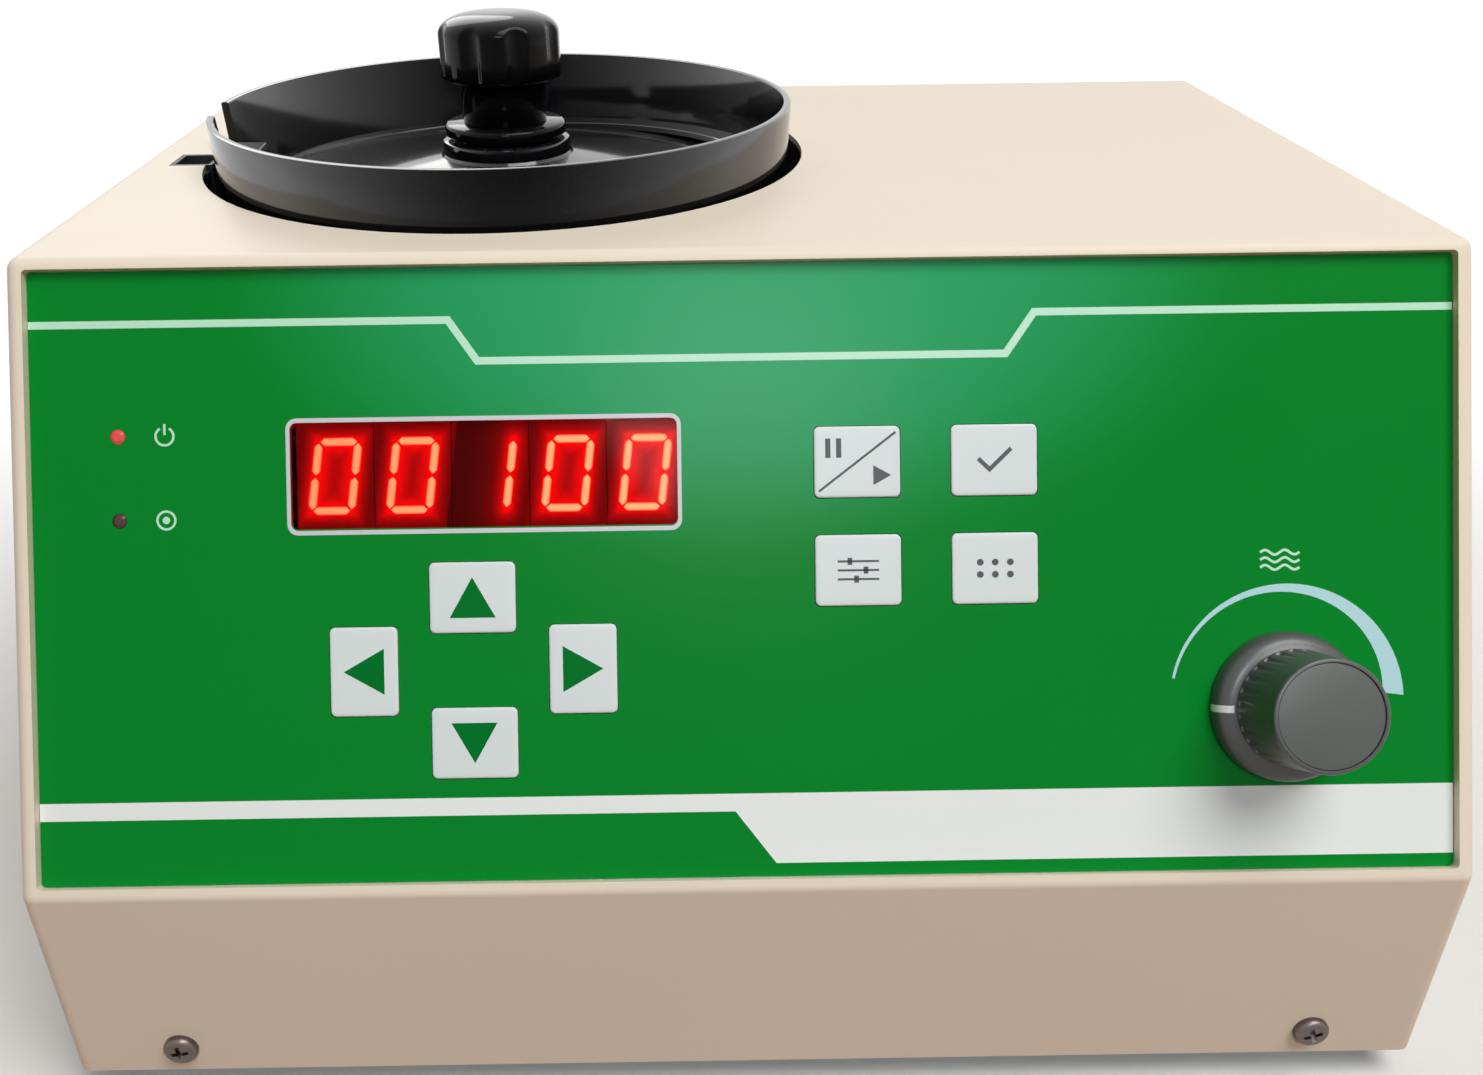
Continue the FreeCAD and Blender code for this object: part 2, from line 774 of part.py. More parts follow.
def make_key_board():
    _, outline = board_outlines()
    board = prism(outline, "z", key_board_face - board_thickness, board_thickness)
    return on_panel(board)


def make_key_switches():
    """Push switches under the keys."""
    switches = []
    half = switch_size / 2
    for _, (u, v), _ in key_layout():
        body = block((u - half, u + half), (v - half, v + half), (key_board_face, key_board_face + switch_height))
        plunger = flat_block((u, v), (switch_plunger_size, switch_plunger_size),
                             (key_board_face + switch_height, switch_top))
        switches.append(on_panel(body.fuse(plunger)))
    return switches


def make_display_window():
    pane = rounded_block((display_u, display_v), (display_width, display_height), display_corner,
                         (overlay_face - window_thickness, overlay_face))
    return on_panel(pane)


def digit_centre(place):
    return display_u + (place - (digit_count - 1) / 2) * digit_pitch + 1.0


def make_display_modules():
    modules = []
    half_v = display_height / 2 + digit_gap
    for place in range(digit_count):
        u = digit_centre(place)
        half_u = (digit_pitch - digit_gap) / 2
        modules.append(on_panel(block((u - half_u, u + half_u), (display_v - half_v, display_v + half_v),
                                      (display_board_face, digit_face))))
    return modules


def segment_bar(start, end):
    """Bar with pointed ends between two corners of a digit, shortened to leave the joins dark."""
    way = Vector(end[0] - start[0], end[1] - start[1], 0)
    way.normalize()
    across = Vector(-way.y, way.x, 0) * (segment_stroke / 2)
    first = Vector(start[0], start[1], 0) + way * segment_join
    last = Vector(end[0], end[1], 0) - way * segment_join
    tip = way * (segment_stroke / 2)
    return [first, first + tip + across, last - tip + across, last, last - tip - across, first + tip - across]


def lit_segments(figure):
    """Ends of the bars that show a figure, as (across, up) in half digits."""
    bars = {"top": ((-1, 1), (1, 1)), "upper_right": ((1, 1), (1, 0)), "lower_right": ((1, 0), (1, -1)),
            "foot": ((-1, -1), (1, -1)), "lower_left": ((-1, 0), (-1, -1)), "upper_left": ((-1, 1), (-1, 0))}
    if figure == "1":
        return [bars["upper_right"], bars["lower_right"]]
    return list(bars.values())


def make_display_segments():
    """The lit bars of the number, raised a little from the faces of the modules."""
    shear = math.tan(math.radians(segment_slant))
    bars = []
    for place, figure in enumerate(shown_digits):
        u = digit_centre(place)
        for start, end in lit_segments(figure):
            ends = []
            for across, up in (start, end):
                rise = up * segment_rise / 2
                ends.append((u + across * segment_span / 2 + rise * shear, display_v + rise))
            corners = [corner + Vector(0, 0, digit_face) for corner in segment_bar(*ends)]
            face = Part.Face(Part.makePolygon(corners + corners[:1]))
            bars.append(on_panel(face.extrude(Vector(0, 0, segment_thickness))))
    return bars


def make_display_board():
    outline, _ = board_outlines()
    return on_panel(prism(outline, "z", display_board_face - board_thickness, board_thickness))


def make_lamp(v):
    """Domed indicator lamp on two leads."""
    shoulder = plate_back - board_clear / 2
    tip = overlay_face + lamp_proud
    body = turned([(0, shoulder - 1), (lamp_radius + lamp_rim, shoulder - 1), (lamp_radius + lamp_rim, shoulder),
                   (lamp_radius, shoulder), (lamp_radius, tip - lamp_radius / 3), (lamp_radius * 0.6, tip),
                   (0, tip)], (lamp_u, v))
    leads = [flat_block((lamp_u + side * lamp_radius / 2, v), (lamp_lead, lamp_lead), (display_board_face, shoulder))
             for side in (-1, 1)]
    return on_panel(body.fuse(leads))


def make_pot_body():
    """Potentiometer case with its threaded bushing and three terminals."""
    floor = plate_back - pot_depth
    bore = shaft_radius + bushing_bore_fit
    bushing_top = overlay_face + bushing_rise
    shell = turned([(0, floor), (pot_radius, floor), (pot_radius, plate_back), (bushing_radius, plate_back),
                    (bushing_radius, bushing_top), (bore, bushing_top), (bore, floor + 3), (0, floor + 3)],
                   (knob_u, knob_v))
    lugs = []
    for step in (-1, 0, 1):
        u = knob_u + step * 5
        lugs.append(block((u - 1, u + 1), (knob_v - pot_radius - 6, knob_v - pot_radius + 1.5), (floor, floor + 0.8)))
    return on_panel(shell.fuse(lugs))


def make_pot_nut():
    nut = hex_bar(pot_nut_flats, (knob_u, knob_v), (overlay_face, overlay_face + pot_nut_height))
    hole = rod(bushing_radius + thread_fit, (knob_u, knob_v, overlay_face - 1),
               (knob_u, knob_v, overlay_face + pot_nut_height + 1))
    return on_panel(nut.cut(hole))


def make_pot_shaft():
    foot = plate_back - pot_depth + 3 + 0.2
    top = knob_foot + knob_cavity_height + shaft_engaged
    return on_panel(rod(shaft_radius, (knob_u, knob_v, foot), (knob_u, knob_v, top)))


def make_speed_knob():
    """Fluted knob with a domed skirt, a pointer groove and a recess for its cap."""
    bore = shaft_radius + shaft_fit
    bore_top = knob_cavity_height + shaft_engaged + 0.4
    recess = knob_height - knob_cap_thickness - knob_cap_sink
    mid_radius = (knob_skirt_radius + knob_barrel_radius) / 2
    profile = [(knob_cavity_radius, 0), (knob_skirt_radius, 0), (knob_skirt_radius, knob_skirt_edge),
               (knob_skirt_radius - 0.5, knob_skirt_edge + 0.7),
               (mid_radius, (knob_skirt_edge + knob_skirt_height) / 2 + 0.5),
               (knob_barrel_radius, knob_skirt_height), (knob_top_radius, knob_height - 0.5),
               (knob_top_radius - 0.4, knob_height), (knob_cap_radius + insert_fit, knob_height),
               (knob_cap_radius + insert_fit, recess), (0, recess), (0, bore_top), (bore, bore_top),
               (bore, knob_cavity_height), (knob_cavity_radius, knob_cavity_height)]
    knob = turned(profile)
    cuts = []
    for step in range(knob_flutes):
        angle = 360 * (step + 0.5) / knob_flutes
        side = 360 / knob_flutes * 0.36
        outer = knob_barrel_radius + knob_flute_depth
        corners = [polar((0, 0), knob_barrel_radius - knob_flute_depth, angle), polar((0, 0), outer, angle - side),
                   polar((0, 0), outer, angle + side)]
        cuts.append(prism(corners, "z", knob_skirt_height + 0.6, knob_height - knob_skirt_height - 2.2))
    cuts.append(block((-knob_skirt_radius - 1, -knob_barrel_radius - 0.6), (-0.75, 0.75),
                      (knob_skirt_edge + 0.2, knob_skirt_height)))
    knob = knob.cut(cuts)
    knob.translate(Vector(knob_u, knob_v, knob_foot))
    return on_panel(knob)


def make_knob_cap():
    foot = knob_top - knob_cap_thickness - knob_cap_sink
    cap = rod(knob_cap_radius, (knob_u, knob_v, foot), (knob_u, knob_v, foot + knob_cap_thickness))
    return on_panel(cap)


# Bowl and its clamp


def bowl_inner_radius(height):
    """Inner radius of the bowl's wall at a height above the deck."""
    share = (bowl_rim - height) / (bowl_rim - bowl_skirt_foot)
    return bowl_radius - bowl_wall - bowl_draft * share


def bowl_floor_height(radius):
    share = (radius - bowl_boss_radius) / (bowl_inner_radius(bowl_floor_edge) - bowl_boss_radius)
    return bowl_floor_hub + (bowl_floor_edge - bowl_floor_hub) * share


def make_bowl_blank():
    """Turned bowl: drafted wall, conical floor that falls to the wall, and a central boss."""
    hole = stud_thread_radius + 0.3
    edge = bowl_inner_radius(bowl_floor_edge)
    foot_outer = bowl_radius - bowl_draft
    under_edge = bowl_floor_edge - bowl_floor_thickness
    under_hub = bowl_floor_hub - bowl_floor_thickness
    boss_under = bowl_boss_radius + bowl_boss_wall
    under_boss = bowl_floor_height(boss_under) - bowl_floor_thickness
    core = bowl_boss_radius - bowl_boss_wall
    return turned([
        (hole, bowl_boss_top), (bowl_boss_radius - 1, bowl_boss_top), (bowl_boss_radius, bowl_boss_top - 1),
        (bowl_boss_radius, bowl_floor_hub), (edge, bowl_floor_edge),
        (bowl_radius - bowl_wall, bowl_rim), (bowl_radius, bowl_rim),
        (foot_outer, bowl_skirt_foot), (foot_outer - bowl_wall, bowl_skirt_foot),
        (foot_outer - bowl_wall, under_edge), (boss_under, under_boss), (boss_under, bowl_boss_foot),
        (core, bowl_boss_foot), (core, under_hub - bowl_boss_wall), (hole + bowl_boss_wall, under_hub - bowl_boss_wall),
        (hole + bowl_boss_wall, bowl_boss_foot), (hole, bowl_boss_foot)])


def track_rise():
    return notch_foot - bowl_floor_edge


def make_track():
    """Shelf that climbs clockwise inside the wall from the floor to the discharge notch."""
    outer = bowl_inner_radius(notch_foot) + track_root
    inner = bowl_inner_radius(bowl_floor_edge) - track_width
    pitch = track_rise() * 360 / track_sweep
    corners = [Vector(inner, 0, -track_thickness), Vector(outer, 0, -track_thickness), Vector(outer, 0, 0),
               Vector(inner, 0, 0)]
    profile = Part.makePolygon(corners + corners[:1])
    path = Part.makeHelix(pitch, track_rise(), outer)
    shelf = Part.Wire(path).makePipeShell([profile], True, True)
    shelf = shelf.mirror(Vector(0, 0, 0), Vector(0, 1, 0))
    notch_angle = 180 - math.degrees(math.asin(notch_rear / bowl_radius))
    shelf.rotate(Vector(0, 0, 0), Vector(0, 0, 1), notch_angle + track_sweep)
    shelf.translate(Vector(0, 0, bowl_floor_edge))
    return shelf


def make_gate():
    """Bite out of the climbing shelf that lets seeds pass only one behind the other."""
    past_notch = gate_angle - 180
    height = notch_foot - track_rise() * past_notch / track_sweep
    reach = bowl_inner_radius(height) - gate_left - gate_radius
    x, y = polar((0, 0), reach, gate_angle)
    return rod(gate_radius, (x, y, height - 2.2 * track_thickness), (x, y, height + 2 * track_thickness))


def make_notch():
    """Discharge notch through the left side of the wall, its front edge swept up in a curve."""
    top = bowl_rim + 1
    start = Vector(0, notch_front, top)
    foot = Vector(0, notch_front + notch_curve, notch_foot)
    bulge = Vector(0, notch_front + notch_curve * 0.42, notch_foot + (bowl_rim - notch_foot) * 0.38)
    edges = [Part.Arc(start, bulge, foot).toShape(),
             Part.makeLine(foot, Vector(0, notch_rear, notch_foot)),
             Part.makeLine(Vector(0, notch_rear, notch_foot), Vector(0, notch_rear, top)),
             Part.makeLine(Vector(0, notch_rear, top), start)]
    cutter = Part.Face(Part.Wire(edges)).extrude(Vector(4 * bowl_wall + track_width, 0, 0))
    cutter.translate(Vector(-bowl_radius - 2 * bowl_wall, 0, 0))
    return cutter


def make_bowl():
    """Bowl with its climbing shelf, single-file gate and discharge notch."""
    bowl = make_bowl_blank().fuse(make_track())
    bowl = bowl.cut([make_gate(), make_notch()])
    bowl.translate(Vector(bowl_x, bowl_y, deck_top))
    return bowl


def make_clamp_washer():
    """Stepped washer under the hand knob."""
    hole = insert_radius + thread_fit
    foot = bowl_boss_top
    return turned([(hole, foot), (washer_step_radius, foot), (washer_step_radius, foot + washer_step),
                   (washer_radius, foot + washer_step), (washer_radius, foot + washer_thickness - 0.8),
                   (washer_radius - 0.8, foot + washer_thickness), (hole, foot + washer_thickness)],
                  (bowl_x, bowl_y), deck_top)


def make_hand_knob():
    """Lobed knob with a domed top on a plain neck."""
    foot = bowl_boss_top + washer_thickness
    cap_foot = foot + hand_knob_neck
    top = cap_foot + hand_knob_height
    shoulder = top - hand_knob_dome
    insert_top = foot + insert_length - washer_thickness
    bore = insert_radius + insert_fit
    stud_bore = stud_thread_radius + 0.3
    stud_top = stud_rise + insert_fit * 10
    dome_mid = (hand_knob_radius * 0.72, shoulder + hand_knob_dome * 0.62)
    points = [(bore, foot), (hand_knob_neck_radius, foot), (hand_knob_neck_radius, cap_foot),
              (hand_knob_radius - 0.6, cap_foot), (hand_knob_radius, cap_foot + 0.6), (hand_knob_radius, shoulder)]
    close = [(0, top), (0, stud_top), (stud_bore, stud_top), (stud_bore, insert_top), (bore, insert_top), (bore, foot)]
    corners = [Vector(radius, 0, height) for radius, height in points]
    last = [Vector(radius, 0, height) for radius, height in close]
    dome = Part.Arc(corners[-1], Vector(dome_mid[0], 0, dome_mid[1]), last[0]).toShape()
    outline = Part.Wire(Part.makePolygon(corners).Edges + [dome] + Part.makePolygon(last).Edges)
    knob = Part.makeSolid(Part.Shell(Part.Face(outline).revolve(Vector(0, 0, 0), Vector(0, 0, 1), 360).Faces))
    if knob.Volume < 0:
        knob.reverse()
    scoops = []
    reach = hand_knob_radius + hand_knob_scoop - hand_knob_scoop_depth
    for step in range(hand_knob_lobes):
        x, y = polar((0, 0), reach, 360 * (step + 0.5) / hand_knob_lobes)
        scoops.append(rod(hand_knob_scoop, (x, y, cap_foot - 1), (x, y, top + 1)))
    knob = knob.cut(scoops)
    knob.translate(Vector(bowl_x, bowl_y, deck_top))
    return knob


def make_knob_insert():
    """Threaded brass insert that passes through the washer into the knob."""
    foot = deck_top + bowl_boss_top + thread_fit * 2
    solid = rod(insert_radius, (bowl_x, bowl_y, foot), (bowl_x, bowl_y, foot + insert_length - thread_fit * 4))
    bore = rod(stud_thread_radius + thread_fit, (bowl_x, bowl_y, foot - 1), (bowl_x, bowl_y, foot + insert_length))
    return solid.cut(bore)


def make_centre_stud():
    return rod(stud_thread_radius, (bowl_x, bowl_y, carrier_foot), (bowl_x, bowl_y, deck_top + stud_rise))


# Vibratory drive


def spring_span():
    """Length of the leaf springs between the base and the carrier, along their lean."""
    upright = carrier_foot - drive_base_top - 2 * spring_end_gap
    return upright / math.cos(math.radians(spring_lean))


def lean_in_place(solid, index):
    """Move a solid drawn about an upright leaf spring's middle to a leaning spring of the drive."""
    placed = solid.copy()
    placed.rotate(Vector(0, 0, 0), Vector(1, 0, 0), spring_lean)
    placed.translate(Vector(spring_circle, 0, (carrier_foot + drive_base_top) / 2))
    placed.rotate(Vector(0, 0, 0), Vector(0, 0, 1), spring_first_angle + 360 * index / spring_count)
    placed.translate(Vector(bowl_x, bowl_y, 0))
    return placed


def clamp_bolt_height(end):
    """Height, along the leaf, of the bolt at one end of a spring."""
    return end * (spring_span() / 2 - clamp_height / 2)


def bolt_bore(end):
    z = clamp_bolt_height(end)
    reach = lug_thickness + clamp_thickness
    return rod(clamp_bolt_radius + thread_fit, (0, -reach, z), (0, reach, z))


def make_lug(end, index):
    """Block that a leaf spring's end is bolted to, run on into the base or the carrier."""
    half = spring_width / 2
    z_ends = sorted((end * (spring_span() / 2 - clamp_height), end * (spring_span() / 2 + 2.5 * spring_end_gap)))
    face = -spring_thickness / 2
    lug = block((-half, half), (face - lug_thickness, face), z_ends).cut(bolt_bore(end))
    return lean_in_place(lug, index)


def make_leaf_springs():
    leaves = []
    half = spring_width / 2
    reach = spring_span() / 2
    for index in range(spring_count):
        leaf = block((-half, half), (-spring_thickness / 2, spring_thickness / 2), (-reach, reach))
        leaf = leaf.cut([bolt_bore(-1), bolt_bore(1)])
        leaves.append(lean_in_place(leaf, index))
    return leaves


def make_spring_clamps(end):
    """Plates that press one end of each leaf spring to its lug."""
    plates = []
    half = spring_width / 2
    face = spring_thickness / 2
    z_ends = sorted((end * (spring_span() / 2 - clamp_height), end * spring_span() / 2))
    for index in range(spring_count):
        plate = block((-half, half), (face, face + clamp_thickness), z_ends).cut(bolt_bore(end))
        plates.append(lean_in_place(plate, index))
    return plates


def make_clamp_bolts(end):
    """Hexagon-head bolt through each clamp plate, leaf and lug."""
    bolts = []
    seat = spring_thickness / 2 + clamp_thickness
    z = clamp_bolt_height(end)
    for index in range(spring_count):
        shank = rod(clamp_bolt_radius, (0, seat, z), (0, seat - lug_thickness - clamp_thickness, z))
        head = hex_bar(clamp_bolt_flats, (0, 0), (0, clamp_bolt_head_height))
        head.rotate(Vector(0, 0, 0), Vector(1, 0, 0), -90)
        head.translate(Vector(0, seat, z))
        bolts.append(lean_in_place(shank.fuse(head), index))
    return bolts


def make_drive_base():
    """Heavy cast base with lugs for the springs and a pedestal for the magnet."""
    base = rod(drive_base_radius, (bowl_x, bowl_y, drive_base_foot), (bowl_x, bowl_y, drive_base_top))
    rims = [edge for edge in base.Edges if len(edge.Vertexes) == 1 and edge.Curve.TypeId == "Part::GeomCircle"]
    base = base.makeChamfer(drive_base_edge, rims)
    lugs = [make_lug(-1, index) for index in range(spring_count)]
    keep = block((bowl_x - 2 * drive_base_radius, bowl_x + 2 * drive_base_radius),
                 (bowl_y - 2 * drive_base_radius, bowl_y + 2 * drive_base_radius),
                 (drive_base_top - drive_base_thickness / 3, carrier_foot))
    size = (core_width + 2 * pedestal_margin, core_depth + 2 * pedestal_margin)
    core_foot = carrier_foot - armature_thickness - magnet_air_gap - core_height
    pedestal = flat_block((bowl_x, bowl_y), size, (drive_base_top - 1, core_foot))
    base = base.fuse([lug.common(keep) for lug in lugs] + [pedestal])
    return base.cut([lean_in_place(bolt_bore(-1), index) for index in range(spring_count)])


def make_bowl_carrier():
    """Plate that holds the bowl, with three lugs hanging from it to the leaf springs."""
    plate = rod(carrier_radius, (bowl_x, bowl_y, carrier_foot), (bowl_x, bowl_y, carrier_top))
    arms = []
    half = spring_width / 2
    for index in range(spring_count):
        arm = block((0, spring_circle + half), (-half - lug_thickness, half + lug_thickness), (carrier_foot, carrier_top))
        arm.rotate(Vector(0, 0, 0), Vector(0, 0, 1), spring_first_angle + 360 * index / spring_count)
        arm.translate(Vector(bowl_x, bowl_y, 0))
        arms.append(arm)
        keep = rod(3 * carrier_radius, (bowl_x, bowl_y, drive_base_top), (bowl_x, bowl_y, carrier_foot + 1))
        arms.append(make_lug(1, index).common(keep))
    plate = plate.fuse(arms)
    hole = rod(stud_thread_radius + thread_fit, (bowl_x, bowl_y, carrier_foot - 1), (bowl_x, bowl_y, carrier_top + 1))
    return plate.cut([hole] + [lean_in_place(bolt_bore(1), index) for index in range(spring_count)])


def core_base():
    return carrier_foot - armature_thickness - magnet_air_gap - core_height


def make_magnet_core():
    """E-shaped laminated core, open side up."""
    foot = core_base()
    half = core_width / 2
    window = (core_width - 2 * core_leg - core_leg) / 2
    outline = [(-half, 0), (half, 0), (half, core_height), (half - core_leg, core_height),
               (half - core_leg, core_yoke), (half - core_leg - window, core_yoke),
               (half - core_leg - window, core_height), (core_leg + window - half, core_height),
               (core_leg + window - half, core_yoke), (core_leg - half, core_yoke), (core_leg - half, core_height),
               (-half, core_height)]
    placed = [(bowl_x + x, foot + z) for x, z in outline]
    return prism(placed, "y", bowl_y - core_depth / 2, core_depth)


def make_magnet_coil():
    """Winding round the middle leg of the core."""
    foot = core_base() + core_yoke + coil_fit
    leg = (core_leg + 2 * coil_fit, core_depth + 2 * coil_fit)
    outer = rounded_block((bowl_x, bowl_y), grown(leg, coil_wall), coil_wall / 2,
                          (foot, foot + core_height - core_yoke - 2 * coil_fit - 2))
    inner = rounded_block((bowl_x, bowl_y), leg, coil_fit, (foot - 1, foot + core_height))
    return outer.cut(inner)


def make_armature():
    foot = carrier_foot - armature_thickness
    half_x = core_width / 2
    half_y = core_depth / 2
    return block((bowl_x - half_x, bowl_x + half_x), (bowl_y - half_y, bowl_y + half_y), (foot, carrier_foot))


def make_rubber_mounts():
    """Waisted rubber bushes under the base."""
    mounts = []
    for index in range(3):
        place = polar((bowl_x, bowl_y), mount_circle, 60 + 120 * index)
        profile = [(0, 0), (mount_radius, 0), (mount_waist, mount_height / 2), (mount_radius, mount_height),
                   (0, mount_height)]
        mounts.append(turned(profile, place, floor_top))
    return mounts


# Seed path


def make_drop_funnel():
    """Hopper under the deck's port: its mouth narrows to the sensor's throat."""
    top = deck_top
    hang = deck_top - sheet
    x_range = (port_outer_x - port_wall, port_inner_x + port_wall)
    y_range = (port_y[0] - port_wall, port_y[1] + port_wall)
    mouth = block(x_range, y_range, (hang - 4, top))
    flange = block((x_range[0] - port_flange, x_range[1] - 0.5), (y_range[0] - port_flange, y_range[1] + port_flange),
                   (hang - 1.5, hang))
    half = throat / 2 + throat_wall
    cx, cy = port_centre
    lower = [Vector(cx - half, cy - half, funnel_foot), Vector(cx + half, cy - half, funnel_foot),
             Vector(cx + half, cy + half, funnel_foot), Vector(cx - half, cy + half, funnel_foot)]
    upper = [Vector(x_range[0], y_range[0], hang - 4), Vector(x_range[1], y_range[0], hang - 4),
             Vector(x_range[1], y_range[1], hang - 4), Vector(x_range[0], y_range[1], hang - 4)]
    cone = Part.makeLoft([Part.makePolygon(lower + lower[:1]), Part.makePolygon(upper + upper[:1])], True, True)
    inner_mouth = block((port_outer_x, port_inner_x), port_y, (hang - 4, top + 1))
    half_in = throat / 2
    lower_in = [Vector(cx - half_in, cy - half_in, funnel_foot), Vector(cx + half_in, cy - half_in, funnel_foot),
                Vector(cx + half_in, cy + half_in, funnel_foot), Vector(cx - half_in, cy + half_in, funnel_foot)]
    upper_in = [Vector(port_outer_x, port_y[0], hang - 4), Vector(port_inner_x, port_y[0], hang - 4),
                Vector(port_inner_x, port_y[1], hang - 4), Vector(port_outer_x, port_y[1], hang - 4)]
    cone_in = Part.makeLoft([Part.makePolygon(lower_in + lower_in[:1]), Part.makePolygon(upper_in + upper_in[:1])],
                            True, True)
    clear = rod(bowl_radius + port_bowl_clear, (bowl_x, bowl_y, hang - 6), (bowl_x, bowl_y, top + 1))
    return mouth.fuse([flange, cone]).cut([inner_mouth, cone_in, clear])


def make_sensor_housing():
    """Block with an upright channel and a bore each side for the light gate."""
    cx, cy = port_centre
    block_body = rounded_block(port_centre, sensor_size, 1.5, (sensor_foot, funnel_foot))
    half = throat / 2
    channel = block((cx - half, cx + half), (cy - half, cy + half), (sensor_foot - 1, funnel_foot + 1))
    middle = (sensor_foot + funnel_foot) / 2
    bore = rod(sensor_lens_radius + sensor_lens_fit, (cx, cy - sensor_size[1], middle), (cx, cy + sensor_size[1], middle))
    return block_body.cut([channel, bore])


def make_lens(side):
    """Five-millimetre infrared diode with its leads; side -1 is the emitter and 1 the receiver."""
    cx, cy = port_centre
    middle = (sensor_foot + funnel_foot) / 2
    nose = cy + side * (throat / 2 + 0.6)
    back = nose + side * sensor_lens_length
    body = rod(sensor_lens_radius, (cx, nose, middle), (cx, back, middle))
    tip = [edge for edge in body.Edges if abs(edge.CenterOfMass.y - nose) < 0.01]
    body = body.makeChamfer(sensor_lens_tip, tip)
    half = sensor_lead / 2
    y_range = sorted((back - side, back + side * sensor_lead_length))
    leads = []
    for step in (-1, 1):
        x = cx + step * sensor_lead_pitch / 2
        leads.append(block((x - half, x + half), y_range, (middle - half, middle + half)))
    return body.fuse(leads)


def make_outlet_chute():
    """Square tube from the sensor down to the drawer, its foot cut at a slant."""
    cx, cy = port_centre
    foot = drawer_top + chute_end_gap
    outer = rounded_block(port_centre, (throat + 2 * throat_wall, throat + 2 * throat_wall), 1.0, (foot, sensor_foot))
    flange = rounded_block(port_centre, (sensor_size[0], sensor_size[0]), 1.5, (sensor_foot - 2, sensor_foot))
    half = throat / 2
    inner = block((cx - half, cx + half), (cy - half, cy + half), (foot - 1, sensor_foot + 1))
    return outer.fuse(flange).cut(inner)


def make_seed_drawer():
    """Pull-out tray for the counted seeds, with a finger scoop in its front."""
    front_x = drawer_front_x
    half = drawer_width / 2
    tub = block((front_x, front_x + drawer_depth), (drawer_y - half, drawer_y + half), (drawer_floor, drawer_top))
    uprights = [edge for edge in tub.Edges
                if abs(edge.tangentAt(edge.FirstParameter).z) > 0.99 and edge.CenterOfMass.x > front_x + 1]
    tub = tub.makeFillet(3.0, uprights)
    hollow = block((front_x + sheet, front_x + drawer_depth - drawer_wall),
                   (drawer_y - half + drawer_wall, drawer_y + half - drawer_wall),
                   (drawer_floor + drawer_wall, drawer_top + 1))
    rims = [edge for edge in hollow.Edges if edge.CenterOfMass.z < drawer_floor + drawer_wall + 0.1]
    hollow = hollow.makeFillet(2.0, rims)
    front = block((front_x, front_x + sheet), (drawer_y - half - drawer_lip, drawer_y + half + drawer_lip),
                  (drawer_floor - drawer_lip, drawer_top + drawer_lip))
    corners = [edge for edge in front.Edges if abs(edge.tangentAt(edge.FirstParameter).x) > 0.99]
    front = front.makeFillet(2.0, corners)
    scoop_z = drawer_top + drawer_lip + drawer_grip_radius - drawer_grip_depth
    scoop = rod(drawer_grip_radius, (front_x - 1, drawer_y, scoop_z), (front_x + sheet + 1, drawer_y, scoop_z))
    return tub.cut(hollow).fuse(front).cut(scoop)


def make_drawer_runners():
    """Pair of folded rails that the drawer slides on."""
    half = drawer_width / 2 + drawer_side_gap
    x_start = sheet_gap + sheet - nested_half
    length = drawer_depth + 6
    ledge_top = drawer_floor - 0.1
    rails = []
    for side in (-1, 1):
        outline = [(half + sheet, floor_top), (half + sheet + runner_ledge, floor_top),
                   (half + sheet + runner_ledge, floor_top + sheet), (half + sheet, floor_top + sheet),
                   (half + sheet, floor_top + runner_guide), (half, floor_top + runner_guide), (half, ledge_top),
                   (half - runner_ledge, ledge_top), (half - runner_ledge, ledge_top - sheet),
                   (half, ledge_top - sheet), (half, floor_top)]
        placed = [(drawer_y + side * y, z) for y, z in outline]
        rails.append(prism(placed, "x", x_start, length))
    return rails


# Rear fittings


def make_mains_inlet():
    """Three-pin appliance inlet with its flange."""
    face = rear_panel_back + inlet_flange_thickness
    body = rounded_block((0, 0), inlet_body, 1.0, (-inlet_depth, 0))
    flange = rounded_block((0, 0), inlet_flange, 3.0, (0, inlet_flange_thickness))
    half_x = inlet_socket[0] / 2
    half_y = inlet_socket[1] / 2
    mouth = [(-half_x, -half_y), (half_x, -half_y), (half_x, half_y - inlet_chamfer),
             (half_x - inlet_chamfer, half_y), (inlet_chamfer - half_x, half_y), (-half_x, half_y - inlet_chamfer)]
    socket = prism(mouth, "z", inlet_flange_thickness - inlet_socket_depth, inlet_socket_depth + 1)
    holes = [rod(inlet_screw_radius, (side * inlet_screw_pitch / 2, 0, -1),
                 (side * inlet_screw_pitch / 2, 0, inlet_flange_thickness + 1)) for side in (-1, 1)]
    shell = body.fuse(flange).cut([socket] + holes)
    pins = []
    for step in (-1, 0, 1):
        x = step * inlet_pin_pitch
        y = inlet_pin_step if step == 0 else -inlet_pin_step
        pins.append(block((x - inlet_pin[0] / 2, x + inlet_pin[0] / 2), (y - inlet_pin[1] / 2, y + inlet_pin[1] / 2),
                          (inlet_flange_thickness - inlet_socket_depth, inlet_flange_thickness - inlet_pin_short)))
    inlet = shell.fuse(pins)
    inlet.rotate(Vector(0, 0, 0), Vector(1, 0, 0), -90)
    inlet.rotate(Vector(0, 0, 0), Vector(0, 1, 0), 180)
    inlet.translate(Vector(inlet_x, face - inlet_flange_thickness, inlet_z))
    return inlet


def rocker_pivot():
    return rear_panel_back - rocker_pivot_depth


